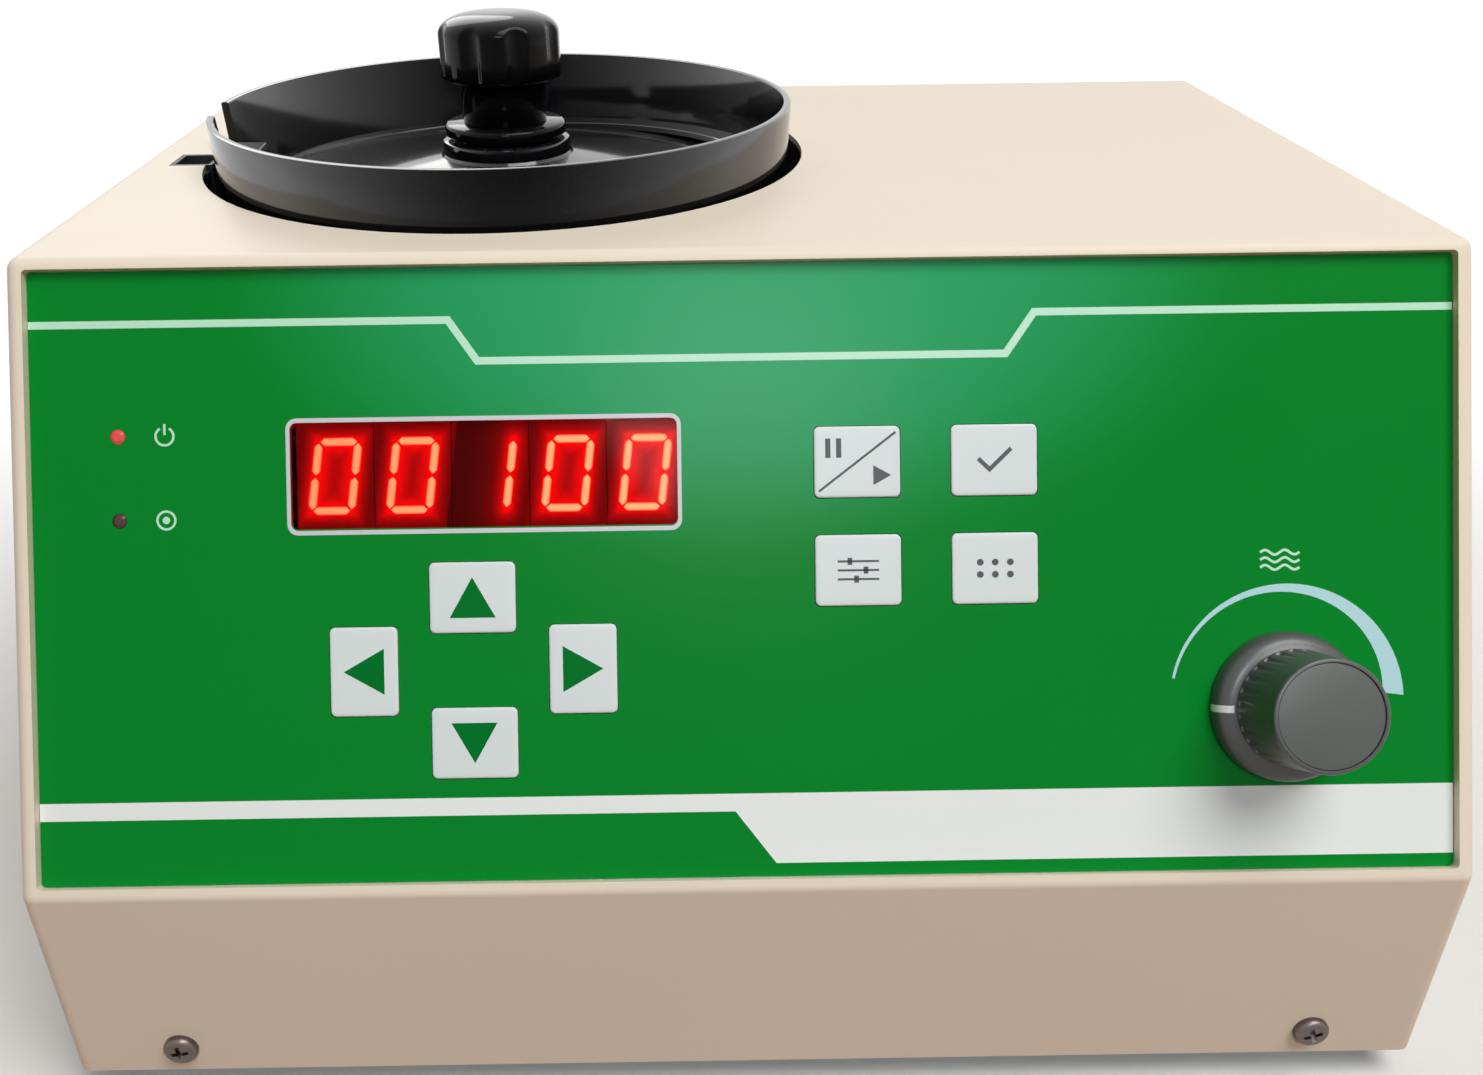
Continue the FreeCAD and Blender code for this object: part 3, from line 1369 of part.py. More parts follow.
def make_switch_frame():
    """Body and bezel of the rocker switch, hollow where the rocker swings."""
    body = rounded_block((switch_x, 0), switch_body, 0.8, (-switch_depth, 0))
    bezel = rounded_block((switch_x, 0), switch_bezel, 1.0, (0, switch_bezel_thickness))
    rim = [edge for edge in bezel.Edges if abs(edge.CenterOfMass.z - switch_bezel_thickness) < 0.01]
    bezel = bezel.makeChamfer(switch_bezel_edge, rim)
    half_x = switch_mouth[0] / 2
    half_y = switch_mouth[1] / 2
    mouth = block((switch_x - half_x, switch_x + half_x), (-half_y, half_y),
                  (-rocker_pivot_depth - rocker_sweep_radius * 0.7, switch_bezel_thickness + 1))
    pin_reach = rocker_width / 2 + rocker_pin_reach + rocker_pin_fit
    pin = rod(rocker_pin_radius + rocker_pin_fit, (switch_x - pin_reach, 0, -rocker_pivot_depth),
              (switch_x + pin_reach, 0, -rocker_pivot_depth))
    frame = body.fuse(bezel).cut([mouth, pin])
    terminals = []
    for y in (-5.0, 0.0, 5.0):
        terminals.append(block((switch_x - 3.2, switch_x + 3.2), (y - 0.4, y + 0.4), (-switch_depth - 8, -switch_depth)))
    frame = frame.fuse(terminals)
    frame.rotate(Vector(0, 0, 0), Vector(1, 0, 0), -90)
    frame.translate(Vector(0, rear_panel_back, switch_z))
    return frame


def make_switch_rocker():
    """Rocker, tipped to one side of its travel, on two short pivot pins."""
    sweep = rocker_sweep_radius
    outline = [(-sweep, -sweep * 0.35), (sweep, -sweep * 0.35), (sweep, sweep * 0.62), (0, sweep * 0.4),
               (-sweep, sweep * 0.62)]
    half = rocker_width / 2
    rocker = prism(outline, "x", switch_x - half, 2 * half).common(rod(sweep, (switch_x - half, 0, 0),
                                                                       (switch_x + half, 0, 0)))
    reach = half + rocker_pin_reach
    pin = rod(rocker_pin_radius, (switch_x - reach, 0, 0), (switch_x + reach, 0, 0))
    rocker = rocker.fuse(pin)
    rocker.rotate(Vector(0, 0, 0), Vector(1, 0, 0), rocker_tilt - 90)
    rocker.translate(Vector(0, rocker_pivot(), switch_z))
    return rocker


# Power parts


def make_transformer():
    """Laminated transformer: core, winding and mounting foot."""
    x, y = transformer_centre
    width, depth, height = transformer_core
    foot = floor_top + 1.5
    core = block((x - width / 2, x + width / 2), (y - depth / 2, y + depth / 2), (foot, foot + height))
    window = (width - 2 * width / 6 - width / 3) / 2
    cuts = []
    for side in (-1, 1):
        inner = side * width / 6
        outer = side * (width / 6 + window)
        cuts.append(block(sorted((inner, outer)), (-depth, depth), (0, height - 2 * width / 6)))
    for cut in cuts:
        cut.translate(Vector(x, y, foot + width / 6))
    core = core.cut(cuts)
    coil = rounded_block((x, y), (width / 3 + 2 * window - 0.6, transformer_coil[1]), 3.0,
                         (foot + width / 6 + 0.3, foot + height - width / 6 - 0.3))
    hole = block((x - width / 6 - 0.1, x + width / 6 + 0.1), (y - depth / 2 - 0.1, y + depth / 2 + 0.1),
                 (foot, foot + height))
    coil = coil.cut(hole)
    plate = rounded_block((x, y), (width + 22, depth), 2.0, (floor_top, foot))
    for side in (-1, 1):
        plate = plate.cut(rod(screw_hole_radius, (x + side * (width / 2 + 6), y, floor_top - 1),
                              (x + side * (width / 2 + 6), y, foot + 1)))
    return [core, coil, plate]


def main_board_corners():
    inset = 5.0
    return [(x, y) for x in (main_board_x[0] + inset, main_board_x[1] - inset)
            for y in (main_board_y[0] + inset, main_board_y[1] - inset)]


def make_main_board():
    foot = floor_top + standoff_height
    board = block(main_board_x, main_board_y, (foot, foot + board_thickness))
    holes = [rod(1.7, (x, y, foot - 1), (x, y, foot + board_thickness + 1)) for x, y in main_board_corners()]
    return board.cut(holes)


def make_standoffs():
    """Hexagonal pillars with a spigot through the board."""
    pillars = []
    for x, y in main_board_corners():
        foot = floor_top
        pillar = hex_bar(2 * standoff_radius, (x, y), (foot, foot + standoff_height))
        spigot = rod(1.6, (x, y, foot + standoff_height), (x, y, foot + standoff_height + board_thickness + 2))
        pillars.append(pillar.fuse(spigot))
    return pillars


def board_part(place, size):
    """Box on the main board, at a place counted from the board's front left corner."""
    x = main_board_x[0] + place[0]
    y = main_board_y[0] + place[1]
    top = floor_top + standoff_height + board_thickness
    return block((x, x + size[0]), (y, y + size[1]), (top, top + size[2]))


def make_board_components():
    """Capacitors, relay, chip, terminal blocks, finned heat sink and small parts on the main board."""
    top = floor_top + standoff_height + board_thickness
    parts = [board_part(relay_place, relay_size), board_part(chip_place, chip_size)]
    for step in range(capacitor_count):
        x = main_board_x[0] + capacitor_place[0] + step * capacitor_pitch
        y = main_board_y[0] + capacitor_place[1]
        parts.append(rod(capacitor_radius, (x, y, top), (x, y, top + capacitor_height)))
    for step in range(terminal_count):
        parts.append(board_part((terminal_place[0], terminal_place[1] + step * terminal_pitch), terminal_size))
    fins = []
    for step in range(fin_count):
        place = (sink_place[0] + step * fin_pitch, sink_place[1])
        fins.append(board_part(place, (fin_thickness, sink_size[1] + fin_length, sink_size[2])))
    parts.append(board_part(sink_place, sink_size).fuse(fins).removeSplitter())
    for step in range(small_part_count):
        parts.append(board_part((small_part_place[0] + step * small_part_pitch, small_part_place[1]), small_part_size))
    return parts


def main():
    os.makedirs("parts", exist_ok=True)
    save("hood", make_hood())
    save("base_tray", make_base_tray())
    save("rear_panel", make_rear_panel())
    save("feet", *make_feet())
    save("case_screws", *make_screws())
    save("front_plate", make_front_plate())
    save("front_overlay", make_front_overlay())
    for name, centre, size in key_layout():
        save(name, make_key(centre, size))
    save("key_board", make_key_board())
    save("key_switches", *make_key_switches())
    save("display_window", make_display_window())
    save("display_modules", *make_display_modules())
    save("display_segments", *make_display_segments())
    save("display_board", make_display_board())
    save("power_lamp", make_lamp(lamp_v[0]))
    save("work_lamp", make_lamp(lamp_v[1]))
    save("pot_body", make_pot_body())
    save("pot_nut", make_pot_nut())
    save("pot_shaft", make_pot_shaft())
    save("speed_knob", make_speed_knob())
    save("knob_cap", make_knob_cap())
    save("bowl", make_bowl())
    save("clamp_washer", make_clamp_washer())
    save("hand_knob", make_hand_knob())
    save("knob_insert", make_knob_insert())
    save("centre_stud", make_centre_stud())
    save("bowl_carrier", make_bowl_carrier())
    save("leaf_springs", *make_leaf_springs())
    save("upper_clamps", *make_spring_clamps(1))
    save("lower_clamps", *make_spring_clamps(-1))
    save("upper_clamp_bolts", *make_clamp_bolts(1))
    save("lower_clamp_bolts", *make_clamp_bolts(-1))
    save("drive_base", make_drive_base())
    save("magnet_core", make_magnet_core())
    save("magnet_coil", make_magnet_coil())
    save("armature", make_armature())
    save("rubber_mounts", *make_rubber_mounts())
    save("drop_funnel", make_drop_funnel())
    save("sensor_housing", make_sensor_housing())
    save("light_emitter", make_lens(-1))
    save("light_receiver", make_lens(1))
    save("outlet_chute", make_outlet_chute())
    save("seed_drawer", make_seed_drawer())
    save("drawer_runners", *make_drawer_runners())
    save("mains_inlet", make_mains_inlet())
    save("switch_frame", make_switch_frame())
    save("switch_rocker", make_switch_rocker())
    save("transformer", *make_transformer())
    save("main_board", make_main_board())
    save("standoffs", *make_standoffs())
    save("board_components", *make_board_components())


main()
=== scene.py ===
import json
import math

import bmesh
import bpy
from bpy.props import FloatProperty, FloatVectorProperty, IntProperty, PointerProperty
from bpy.types import Operator, Panel, PropertyGroup
from mathutils import Matrix, Vector

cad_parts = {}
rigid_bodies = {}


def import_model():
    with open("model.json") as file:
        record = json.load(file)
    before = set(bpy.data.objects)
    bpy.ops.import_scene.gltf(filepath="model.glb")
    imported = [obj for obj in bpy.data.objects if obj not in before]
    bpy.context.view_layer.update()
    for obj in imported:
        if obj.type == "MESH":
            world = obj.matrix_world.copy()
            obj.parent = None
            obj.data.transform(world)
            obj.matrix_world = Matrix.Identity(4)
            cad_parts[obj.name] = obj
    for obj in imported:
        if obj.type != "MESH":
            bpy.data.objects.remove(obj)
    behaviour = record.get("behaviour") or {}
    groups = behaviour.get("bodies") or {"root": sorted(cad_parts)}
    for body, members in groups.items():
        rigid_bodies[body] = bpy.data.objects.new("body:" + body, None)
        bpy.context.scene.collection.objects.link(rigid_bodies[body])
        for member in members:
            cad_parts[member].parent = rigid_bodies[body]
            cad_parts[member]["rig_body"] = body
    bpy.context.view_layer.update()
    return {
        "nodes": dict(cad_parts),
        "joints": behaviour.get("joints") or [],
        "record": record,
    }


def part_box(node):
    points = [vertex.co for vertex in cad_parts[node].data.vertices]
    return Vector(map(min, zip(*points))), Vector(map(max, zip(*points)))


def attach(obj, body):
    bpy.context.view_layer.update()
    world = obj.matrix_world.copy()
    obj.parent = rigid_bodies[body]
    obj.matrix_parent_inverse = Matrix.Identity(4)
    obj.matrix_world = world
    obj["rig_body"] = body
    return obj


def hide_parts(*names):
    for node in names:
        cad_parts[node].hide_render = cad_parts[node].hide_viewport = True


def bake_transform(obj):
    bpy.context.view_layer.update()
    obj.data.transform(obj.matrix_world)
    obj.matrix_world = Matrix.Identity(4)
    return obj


bl_info = {
    "name": "Seed Counter Look",
    "version": (1, 0, 0),
    "blender": (4, 5, 0),
    "location": "View3D > Sidebar > Seed Counter",
    "description": "Dresses the solids of a bench seed counter with finishes, print and fine shapes",
    "category": "Object",
}

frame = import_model()
MM = 0.001


def joint_named(name):
    """The frame's joint of that name."""
    return next(joint for joint in frame["joints"] if joint["name"] == name)


def linear(red, green, blue):
    """Linear colour of a display colour given from 0 to 255."""
    shares = [value / 255 for value in (red, green, blue)]
    return tuple(s / 12.92 if s <= 0.04045 else ((s + 0.055) / 1.055) ** 2.4 for s in shares)


# The sloping panel's own directions, from the axis of its speed knob
ACROSS = Vector((1, 0, 0))
OUTWARD = -Vector(joint_named("speed_knob_turn")["axis"]).normalized()
UPWARD = OUTWARD.cross(ACROSS)
KNOB_SEAT = Vector(joint_named("speed_knob_turn")["pos_m"])
BOWL_SEAT = Vector(joint_named("bowl_twist")["pos_m"])


# Sizes and colours that a user would change


def length(name, description, default):
    """Property for a length that can't be negative."""
    return FloatProperty(name=name, description=description, default=default, min=0.0, precision=5,
                         subtype="DISTANCE", unit="LENGTH")


def place(name, description, default):
    """Property for a height or place, which can lie below or left of nought."""
    return FloatProperty(name=name, description=description, default=default, precision=5,
                         subtype="DISTANCE", unit="LENGTH")


def colour(name, description, default):
    """Property for a linear colour."""
    return FloatVectorProperty(name=name, description=description, default=default, size=3,
                               min=0.0, max=1.0, subtype="COLOR")


def strength(name, description, default):
    """Property for the power of a light."""
    return FloatProperty(name=name, description=description, default=default, min=0.0)


def count(name, description, default, low):
    """Property for a whole number with its least value."""
    return IntProperty(name=name, description=description, default=default, min=low)


class SeedCounterPanelSizes(PropertyGroup):
    """Layout of the printed panel, measured across and up the slope."""
    knob_v: place("Knob height", "Height of the speed knob's centre up the slope", 37.2 * MM)
    film: place("Film depth", "How far the printed film lies below the case's slope", -2.2 * MM)
    print_height: length("Print height", "How far the print stands off the film", 0.05 * MM)
    half_width: length("Half width", "Half the width of the printed film", 150.85 * MM)
    header_v: place("Header line", "Height of the header line at the sides", 121.7 * MM)
    header_dip_v: place("Header dip", "Height of the header line in the middle", 113.0 * MM)
    header_dip_u: length("Dip half width", "Half the width of the lowered stretch", 56.0 * MM)
    header_bend_u: length("Bend half width", "Half the distance between the upper bends", 62.1 * MM)
    header_line: length("Header thickness", "Thickness of the header line", 1.6 * MM)
    band_top_v: place("Band top", "Upper edge of the white band", 20.2 * MM)
    band_thin_v: place("Thin band foot", "Lower edge of the thin stretch of the band", 16.4 * MM)
    band_foot_v: place("Band foot", "Lower edge of the thick stretch of the band", 5.2 * MM)
    band_break_u: place("Band break", "Where the band begins to thicken", -2.6 * MM)
    band_full_u: place("Band full", "Where the band is at its full thickness", 6.0 * MM)
    arc_radius: length("Scale radius", "Outer radius of the speed scale", 25.0 * MM)
    arc_thick: length("Scale thickness", "Thickness of the speed scale at its fast end", 4.4 * MM)
    arc_thin: length("Scale start", "Thickness of the speed scale at its slow end", 0.6 * MM)


class SeedCounterBowlSizes(PropertyGroup):
    """Turned bowl with its climbing shelf."""
    radius: length("Radius", "Outer radius at the rim", 75.6 * MM)
    draft: length("Draft", "How much narrower the wall is at its foot", 1.2 * MM)
    wall: length("Wall", "Thickness of the wall", 2.0 * MM)
    rim: length("Rim", "Height of the rim above the deck", 13.0 * MM)
    foot: place("Foot", "Height of the wall's foot", -14.0 * MM)
    floor_edge: place("Floor edge", "Height of the floor where it meets the wall", -8.0 * MM)
    floor: length("Floor", "Thickness of the floor", 3.0 * MM)
    boss: length("Boss", "Radius of the middle boss", 17.0 * MM)
    boss_top: length("Boss top", "Height of the boss above the deck", 4.0 * MM)
    boss_foot: place("Boss foot", "Height of the boss's underside", -16.0 * MM)
    shelf: length("Shelf width", "Width of the climbing shelf", 7.5 * MM)
    shelf_thickness: length("Shelf thickness", "Thickness of the climbing shelf", 1.8 * MM)
    notch_front: place("Notch front", "Front of the discharge notch at the rim", -14.5 * MM)
    notch_rear: place("Notch rear", "Rear of the discharge notch", 3.0 * MM)
    notch_foot: length("Notch foot", "Height of the notch's floor above the deck", 2.6 * MM)
    notch_curve: length("Notch curve", "Reach of the notch's curved front", 9.0 * MM)
    segments: count("Segments", "Steps round the bowl", 224, 24)


class SeedCounterKnobSizes(PropertyGroup):
    """Hand knob on the bowl and speed knob on the panel."""
    hand_radius: length("Hand knob radius", "Outer radius of the hand knob", 15.6 * MM)
    hand_neck: length("Neck radius", "Radius of the hand knob's neck", 11.0 * MM)
    hand_lobes: count("Lobes", "Scoops round the hand knob", 8, 3)
    hand_scoop: length("Scoop radius", "Radius of each scoop", 4.2 * MM)
    hand_depth: length("Scoop depth", "Depth of each scoop", 1.3 * MM)
    skirt: length("Skirt radius", "Radius of the speed knob's skirt", 16.0 * MM)
    barrel: length("Barrel radius", "Radius of the fluted barrel at its foot", 12.5 * MM)
    top: length("Top radius", "Radius of the fluted barrel at its top", 11.7 * MM)
    height: length("Height", "Height of the speed knob", 21.2 * MM)
    flutes: count("Flutes", "Flutes round the barrel", 28, 6)
    flute: length("Flute radius", "Radius of each flute", 0.9 * MM)


class SeedCounterColours(PropertyGroup):
    """Colours of the visible finishes."""
    paint: colour("Case paint", "Cream baked paint", linear(240, 226, 208))
    film: colour("Film green", "Green of the printed film", linear(0, 135, 42))
    white: colour("Print white", "White of the band", linear(238, 243, 241))
    keys: colour("Key white", "Cool white of the keys", linear(224, 233, 234))
    arrows: colour("Arrow green", "Green of the arrows on the keys", linear(0, 118, 44))
    frame: colour("Display frame", "Grey line round the display", linear(206, 208, 214))
    mint: colour("Print mint", "Pale mint of the thin lines and marks", linear(190, 236, 208))
    scale: colour("Scale blue", "Pale blue white of the speed scale", linear(182, 222, 228))
    knob: colour("Speed knob", "Grey of the moulded speed knob", linear(72, 74, 74))
    disc: colour("Knob disc", "Grey of the disc in the speed knob", linear(84, 89, 86))
    black: colour("Bowl black", "Gloss black of the bowl and its knob", linear(12, 12, 15))
    floor: colour("Floor", "Plain pale floor", linear(240, 238, 235))
    bounce: colour("Floor bounce", "Colour of the light that the floor throws back", linear(132, 78, 26))


class SeedCounterStageSizes(PropertyGroup):
    """Lights and floor."""
    key_strength: strength("Key light", "Power of the main light in watts", 41.0)
    front_strength: strength("Front light", "Power of the weak front light in watts", 6.0)
    rear_strength: strength("Rear light", "Power of the weak rear light in watts", 9.0)
    world_strength: strength("World light", "Strength of the even light", 0.09)
    white_from: length("White from", "Distance at which the floor begins to fade to white", 0.20)
    white_by: length("White by", "Distance at which the floor is fully white", 0.50)


class SeedCounterSettings(PropertyGroup):
    """All sizes and colours, group by group."""
    panel: PointerProperty(type=SeedCounterPanelSizes)
    bowl: PointerProperty(type=SeedCounterBowlSizes)
    knobs: PointerProperty(type=SeedCounterKnobSizes)
    colours: PointerProperty(type=SeedCounterColours)
    stage: PointerProperty(type=SeedCounterStageSizes)


def settings():
    """The sizes and colours kept in the scene."""
    return bpy.context.scene.seed_counter


# Shader building


class NodeBuilder:
    """Adds nodes to a tree, each with its inputs set or linked."""

    def __init__(self, tree):
        self.tree = tree

    def add(self, kind, inputs=None, **values):
        """New node of a kind: values go on the node itself, inputs on its sockets by name or index."""
        node = self.tree.nodes.new(kind)
        for name, value in values.items():
            setattr(node, name, value)
        for key, value in (inputs or {}).items():
            self.put(node.inputs[key], value)
        return node

    def put(self, socket, value):
        """Link a socket or node to an input, or give it a plain value."""
        if isinstance(value, bpy.types.NodeSocket):
            self.tree.links.new(value, socket)
        elif isinstance(value, bpy.types.Node):
            self.tree.links.new(value.outputs[0], socket)
        else:
            socket.default_value = value

    def math(self, operation, *values):
        """Result of a sum on plain numbers or sockets."""
        node = self.tree.nodes.new("ShaderNodeMath")
        node.operation = operation
        for socket, value in zip(node.inputs, values):
            self.put(socket, value)
        return node.outputs[0]

    def vector(self, operation, *values):
        """Result of a sum on vectors: a number for a product or a length, else a vector."""
        node = self.tree.nodes.new("ShaderNodeVectorMath")
        node.operation = operation
        for socket, value in zip(node.inputs, values):
            self.put(socket, value)
        return node.outputs["Value"] if operation in ("DOT_PRODUCT", "LENGTH") else node.outputs[0]

    def square(self, value):
        """Square of a value of either sign."""
        return self.math("POWER", self.math("ABSOLUTE", value), 2.0)

    def object_spot(self):
        """Place of the point being shaded, in the object's own coordinates."""
        return self.add("ShaderNodeTexCoord").outputs["Object"]

    def noise(self, spot, scale, detail, roughness=0.5, distortion=0.0):
        """Cloudy value round one half."""
        return self.add("ShaderNodeTexNoise", {
            "Vector": spot, "Scale": scale, "Detail": detail, "Roughness": roughness,
            "Distortion": distortion}).outputs[0]

    def ramp(self, value, start, end, interpolation="SMOOTHSTEP"):
        """Nought at the start, one at the end."""
        return self.add("ShaderNodeMapRange", {"Value": value, "From Min": start, "From Max": end},
                        interpolation_type=interpolation).outputs[0]

    def blend(self, factor, first, second):
        """Colour between two, the factor being the share of the second."""
        node = self.add("ShaderNodeMix", data_type="RGBA")
        self.put(node.inputs["Factor"], factor)
        self.put(node.inputs[6], first)
        self.put(node.inputs[7], second)
        return node.outputs[2]


def new_group(name, inputs, outputs):
    """Shader group with named sockets: each input is (name, type, default), each output (name, type)."""
    tree = bpy.data.node_groups.new(name, "ShaderNodeTree")
    for title, kind, default in inputs:
        socket = tree.interface.new_socket(title, in_out="INPUT", socket_type=kind)
        socket.default_value = default
    for title, kind in outputs:
        tree.interface.new_socket(title, in_out="OUTPUT", socket_type=kind)
    builder = NodeBuilder(tree)
    return tree, builder, builder.add("NodeGroupInput"), builder.add("NodeGroupOutput")


def grain_group():
    """Fine surface grain: a height for bump and a value round one half for small colour shifts."""
    tree, build, entry, leave = new_group(
        "Fine grain",
        [("Grain size", "NodeSocketFloat", 900.0), ("Patch size", "NodeSocketFloat", 14.0)],
        [("Height", "NodeSocketFloat"), ("Patches", "NodeSocketFloat")])
    spot = build.object_spot()
    build.put(leave.inputs["Height"], build.noise(spot, entry.outputs["Grain size"], 2.0))
    build.put(leave.inputs["Patches"], build.noise(spot, entry.outputs["Patch size"], 4.0, roughness=0.6))
    return tree


def dust_group():
    """Thin settled dust on what faces up, in soft patches."""
    tree, build, entry, leave = new_group(
        "Settled dust", [("Amount", "NodeSocketFloat", 0.1)], [("Mask", "NodeSocketFloat")])
    spot = build.object_spot()
    facing = build.add("ShaderNodeSeparateXYZ", {0: build.add("ShaderNodeNewGeometry").outputs["Normal"]})
    upward = build.math("MAXIMUM", facing.outputs["Z"], 0.0)
    patch = build.noise(spot, 22.0, 5.0, roughness=0.65)
    speck = build.math("GREATER_THAN", build.noise(spot, 1400.0, 1.0), 0.56)
    cover = build.math("MULTIPLY", patch, speck)
    mask = build.math("MULTIPLY", build.math("MULTIPLY", cover, upward), entry.outputs["Amount"])
    build.put(leave.inputs["Mask"], mask)
    return tree


def smudge_group():
    """Broad handling marks that change the gloss."""
    tree, build, entry, leave = new_group(
        "Handling marks", [("Roughness", "NodeSocketFloat", 0.4), ("Spread", "NodeSocketFloat", 0.08)],
        [("Roughness", "NodeSocketFloat")])
    marks = build.noise(build.object_spot(), 30.0, 3.0, distortion=0.8)
    swing = build.math("MULTIPLY", build.math("SUBTRACT", marks, 0.5), entry.outputs["Spread"])
    level = build.math("ADD", swing, entry.outputs["Roughness"])
    build.put(leave.inputs["Roughness"], build.math("MAXIMUM", level, 0.02))
    return tree


# How closely noise is drawn along each axis for brushed lines that run along the X axis
DRAWN_ACROSS = (30.0, 2500.0, 2500.0)


def brushed_group():
    """Fine lines drawn along one direction, as on brushed or ground metal."""
    tree, build, entry, leave = new_group(
        "Brushed lines", [("Stretch", "NodeSocketVector", DRAWN_ACROSS)], [("Height", "NodeSocketFloat")])
    drawn = build.vector("MULTIPLY", build.object_spot(), entry.outputs["Stretch"])
    build.put(leave.inputs["Height"], build.noise(drawn, 1.0, 2.0))
    return tree


def turned_group():
    """Fine rings round an upright axis, as a lathe leaves."""
    tree, build, entry, leave = new_group(
        "Turned rings",
        [("Centre", "NodeSocketVector", (0.0, 0.0, 0.0)), ("Pitch", "NodeSocketFloat", 0.6 * MM)],
        [("Height", "NodeSocketFloat")])
    from_centre = build.vector("SUBTRACT", build.object_spot(), entry.outputs["Centre"])
    level = build.vector("MULTIPLY", from_centre, (1.0, 1.0, 0.0))
    ring = build.math("DIVIDE", build.vector("LENGTH", level), entry.outputs["Pitch"])
    build.put(leave.inputs["Height"], build.math("SINE", build.math("MULTIPLY", ring, math.tau)))
    return tree


def digit_group():
    """Distances on the display: from a digit's outline, and from the nearest lit bar.

    Every place shows a nought, whose bars lie along its outline, but the middle one, where only the
    bars at the right are lit.
    """
    tree, build, _, leave = new_group(
        "Digit distances", [], [("Outline", "NodeSocketFloat"), ("Lit", "NodeSocketFloat")])
    across, rise = panel_coordinates(build)
    up = build.math("SUBTRACT", rise, DISPLAY_V)
    upright = build.math("SUBTRACT", build.math("SUBTRACT", across, DISPLAY_U),
                         build.math("MULTIPLY", up, DIGIT_LEAN))
    step = build.math("DIVIDE", upright, DIGIT_PITCH)
    digit = build.math("ROUND", step)
    aside = build.math("MULTIPLY", build.math("SUBTRACT", step, digit), DIGIT_PITCH)
    past_side = build.math("SUBTRACT", build.math("ABSOLUTE", aside), DIGIT_HALF_SPAN)
    past_top = build.math("SUBTRACT", build.math("ABSOLUTE", up), DIGIT_HALF_RISE)
    outside = build.math("MAXIMUM", past_side, past_top)
    nought = build.math("MAXIMUM", outside, build.math("MULTIPLY", outside, -0.5))
    from_right = build.square(build.math("SUBTRACT", aside, DIGIT_HALF_SPAN))
    from_end = build.square(build.math("MAXIMUM", past_top, 0.0))
    one = build.math("SQRT", build.math("ADD", from_right, from_end))
    middle = build.math("COMPARE", digit, 0.0, 0.1)
    lit = build.math("ADD", build.math("MULTIPLY", nought, build.math("SUBTRACT", 1.0, middle)),
                     build.math("MULTIPLY", one, middle))
    build.put(leave.inputs["Outline"], build.math("ABSOLUTE", outside))
    build.put(leave.inputs["Lit"], lit)
    return tree


GROUP_BUILDERS = {
    "Digit distances": digit_group,
    "Fine grain": grain_group,
    "Settled dust": dust_group,
    "Handling marks": smudge_group,
    "Brushed lines": brushed_group,
    "Turned rings": turned_group,
}


def use_group(build, name, **inputs):
    """Place a shared shader group in a material, building it the first time."""
    tree = bpy.data.node_groups.get(name) or GROUP_BUILDERS[name]()
    node = build.add("ShaderNodeGroup", node_tree=tree)
    for title, value in inputs.items():
        build.put(node.inputs[title.replace("_", " ").capitalize()], value)
    return node


MATERIALS = {}
BLACK = (0.0, 0.0, 0.0, 1.0)
WHITE = (1.0, 1.0, 1.0, 1.0)
DUST = (0.55, 0.53, 0.50, 1.0)


class Finish:
    """Material with a Principled shader, grain, patches, handling marks and dust.

    It is kept in MATERIALS under its name. Shift is how far the patches change the colour, spread how
    far the handling marks change the roughness, and depth the height of the grain.
    """

    def __init__(self, name, base, roughness, metallic=0.0, grain=900.0, bump=0.1, depth=0.02 * MM,
                 shift=0.06, spread=0.08, dust=0.0):
        material = bpy.data.materials.new(name)
        MATERIALS[name] = material
        material.use_nodes = True
        self.build = NodeBuilder(material.node_tree)
        self.shader = material.node_tree.nodes["Principled BSDF"]
        grained = use_group(self.build, "Fine grain", grain_size=grain, patch_size=14.0)
        darker = tuple(value * (1 - shift) for value in base)
        lighter = tuple(min(1.0, value * (1 + shift)) for value in base)
        self.colour = self.build.blend(grained.outputs["Patches"], (*darker, 1.0), (*lighter, 1.0))
        if dust:
            mask = use_group(self.build, "Settled dust", amount=dust).outputs["Mask"]
            self.colour = self.build.blend(mask, self.colour, DUST)
        self.build.put(self.shader.inputs["Base Color"], self.colour)
        self.shader.inputs["Metallic"].default_value = metallic
        marks = use_group(self.build, "Handling marks", roughness=roughness, spread=spread)
        self.build.put(self.shader.inputs["Roughness"], marks.outputs[0])
        self.bump = self.build.add("ShaderNodeBump", {
            "Strength": bump, "Distance": depth, "Height": grained.outputs["Height"]})
        self.build.put(self.shader.inputs["Normal"], self.bump.outputs[0])

    def set(self, **constants):
        """Plain values on the shader's own sockets."""
        for title, value in constants.items():
            self.shader.inputs[title.replace("_", " ")].default_value = value
        return self

    def relief(self, height, bump, depth):
        """Replace the grain's bump by another height."""
        self.build.put(self.bump.inputs["Height"], height)
        self.bump.inputs["Strength"].default_value = bump
        self.bump.inputs["Distance"].default_value = depth

    def slanted_coat(self, gain, roughness, ior=1.5):
        """Coat that shows little head-on and more at a slant."""
        slant = self.build.add("ShaderNodeLayerWeight", {"Blend": 0.5}).outputs["Facing"]
        weight = self.build.math("MINIMUM", self.build.math("MULTIPLY", slant, gain), 1.0)
        self.build.put(self.shader.inputs["Coat Weight"], weight)
        return self.set(Coat_Roughness=roughness, Coat_IOR=ior)

    def glow(self, value, power):
        """Light that the surface gives off."""
        self.build.put(self.shader.inputs["Emission Color"], value)
        self.shader.inputs["Emission Strength"].default_value = power

    def colour_from(self, value):
        """Replace the base colour."""
        self.build.put(self.shader.inputs["Base Color"], value)


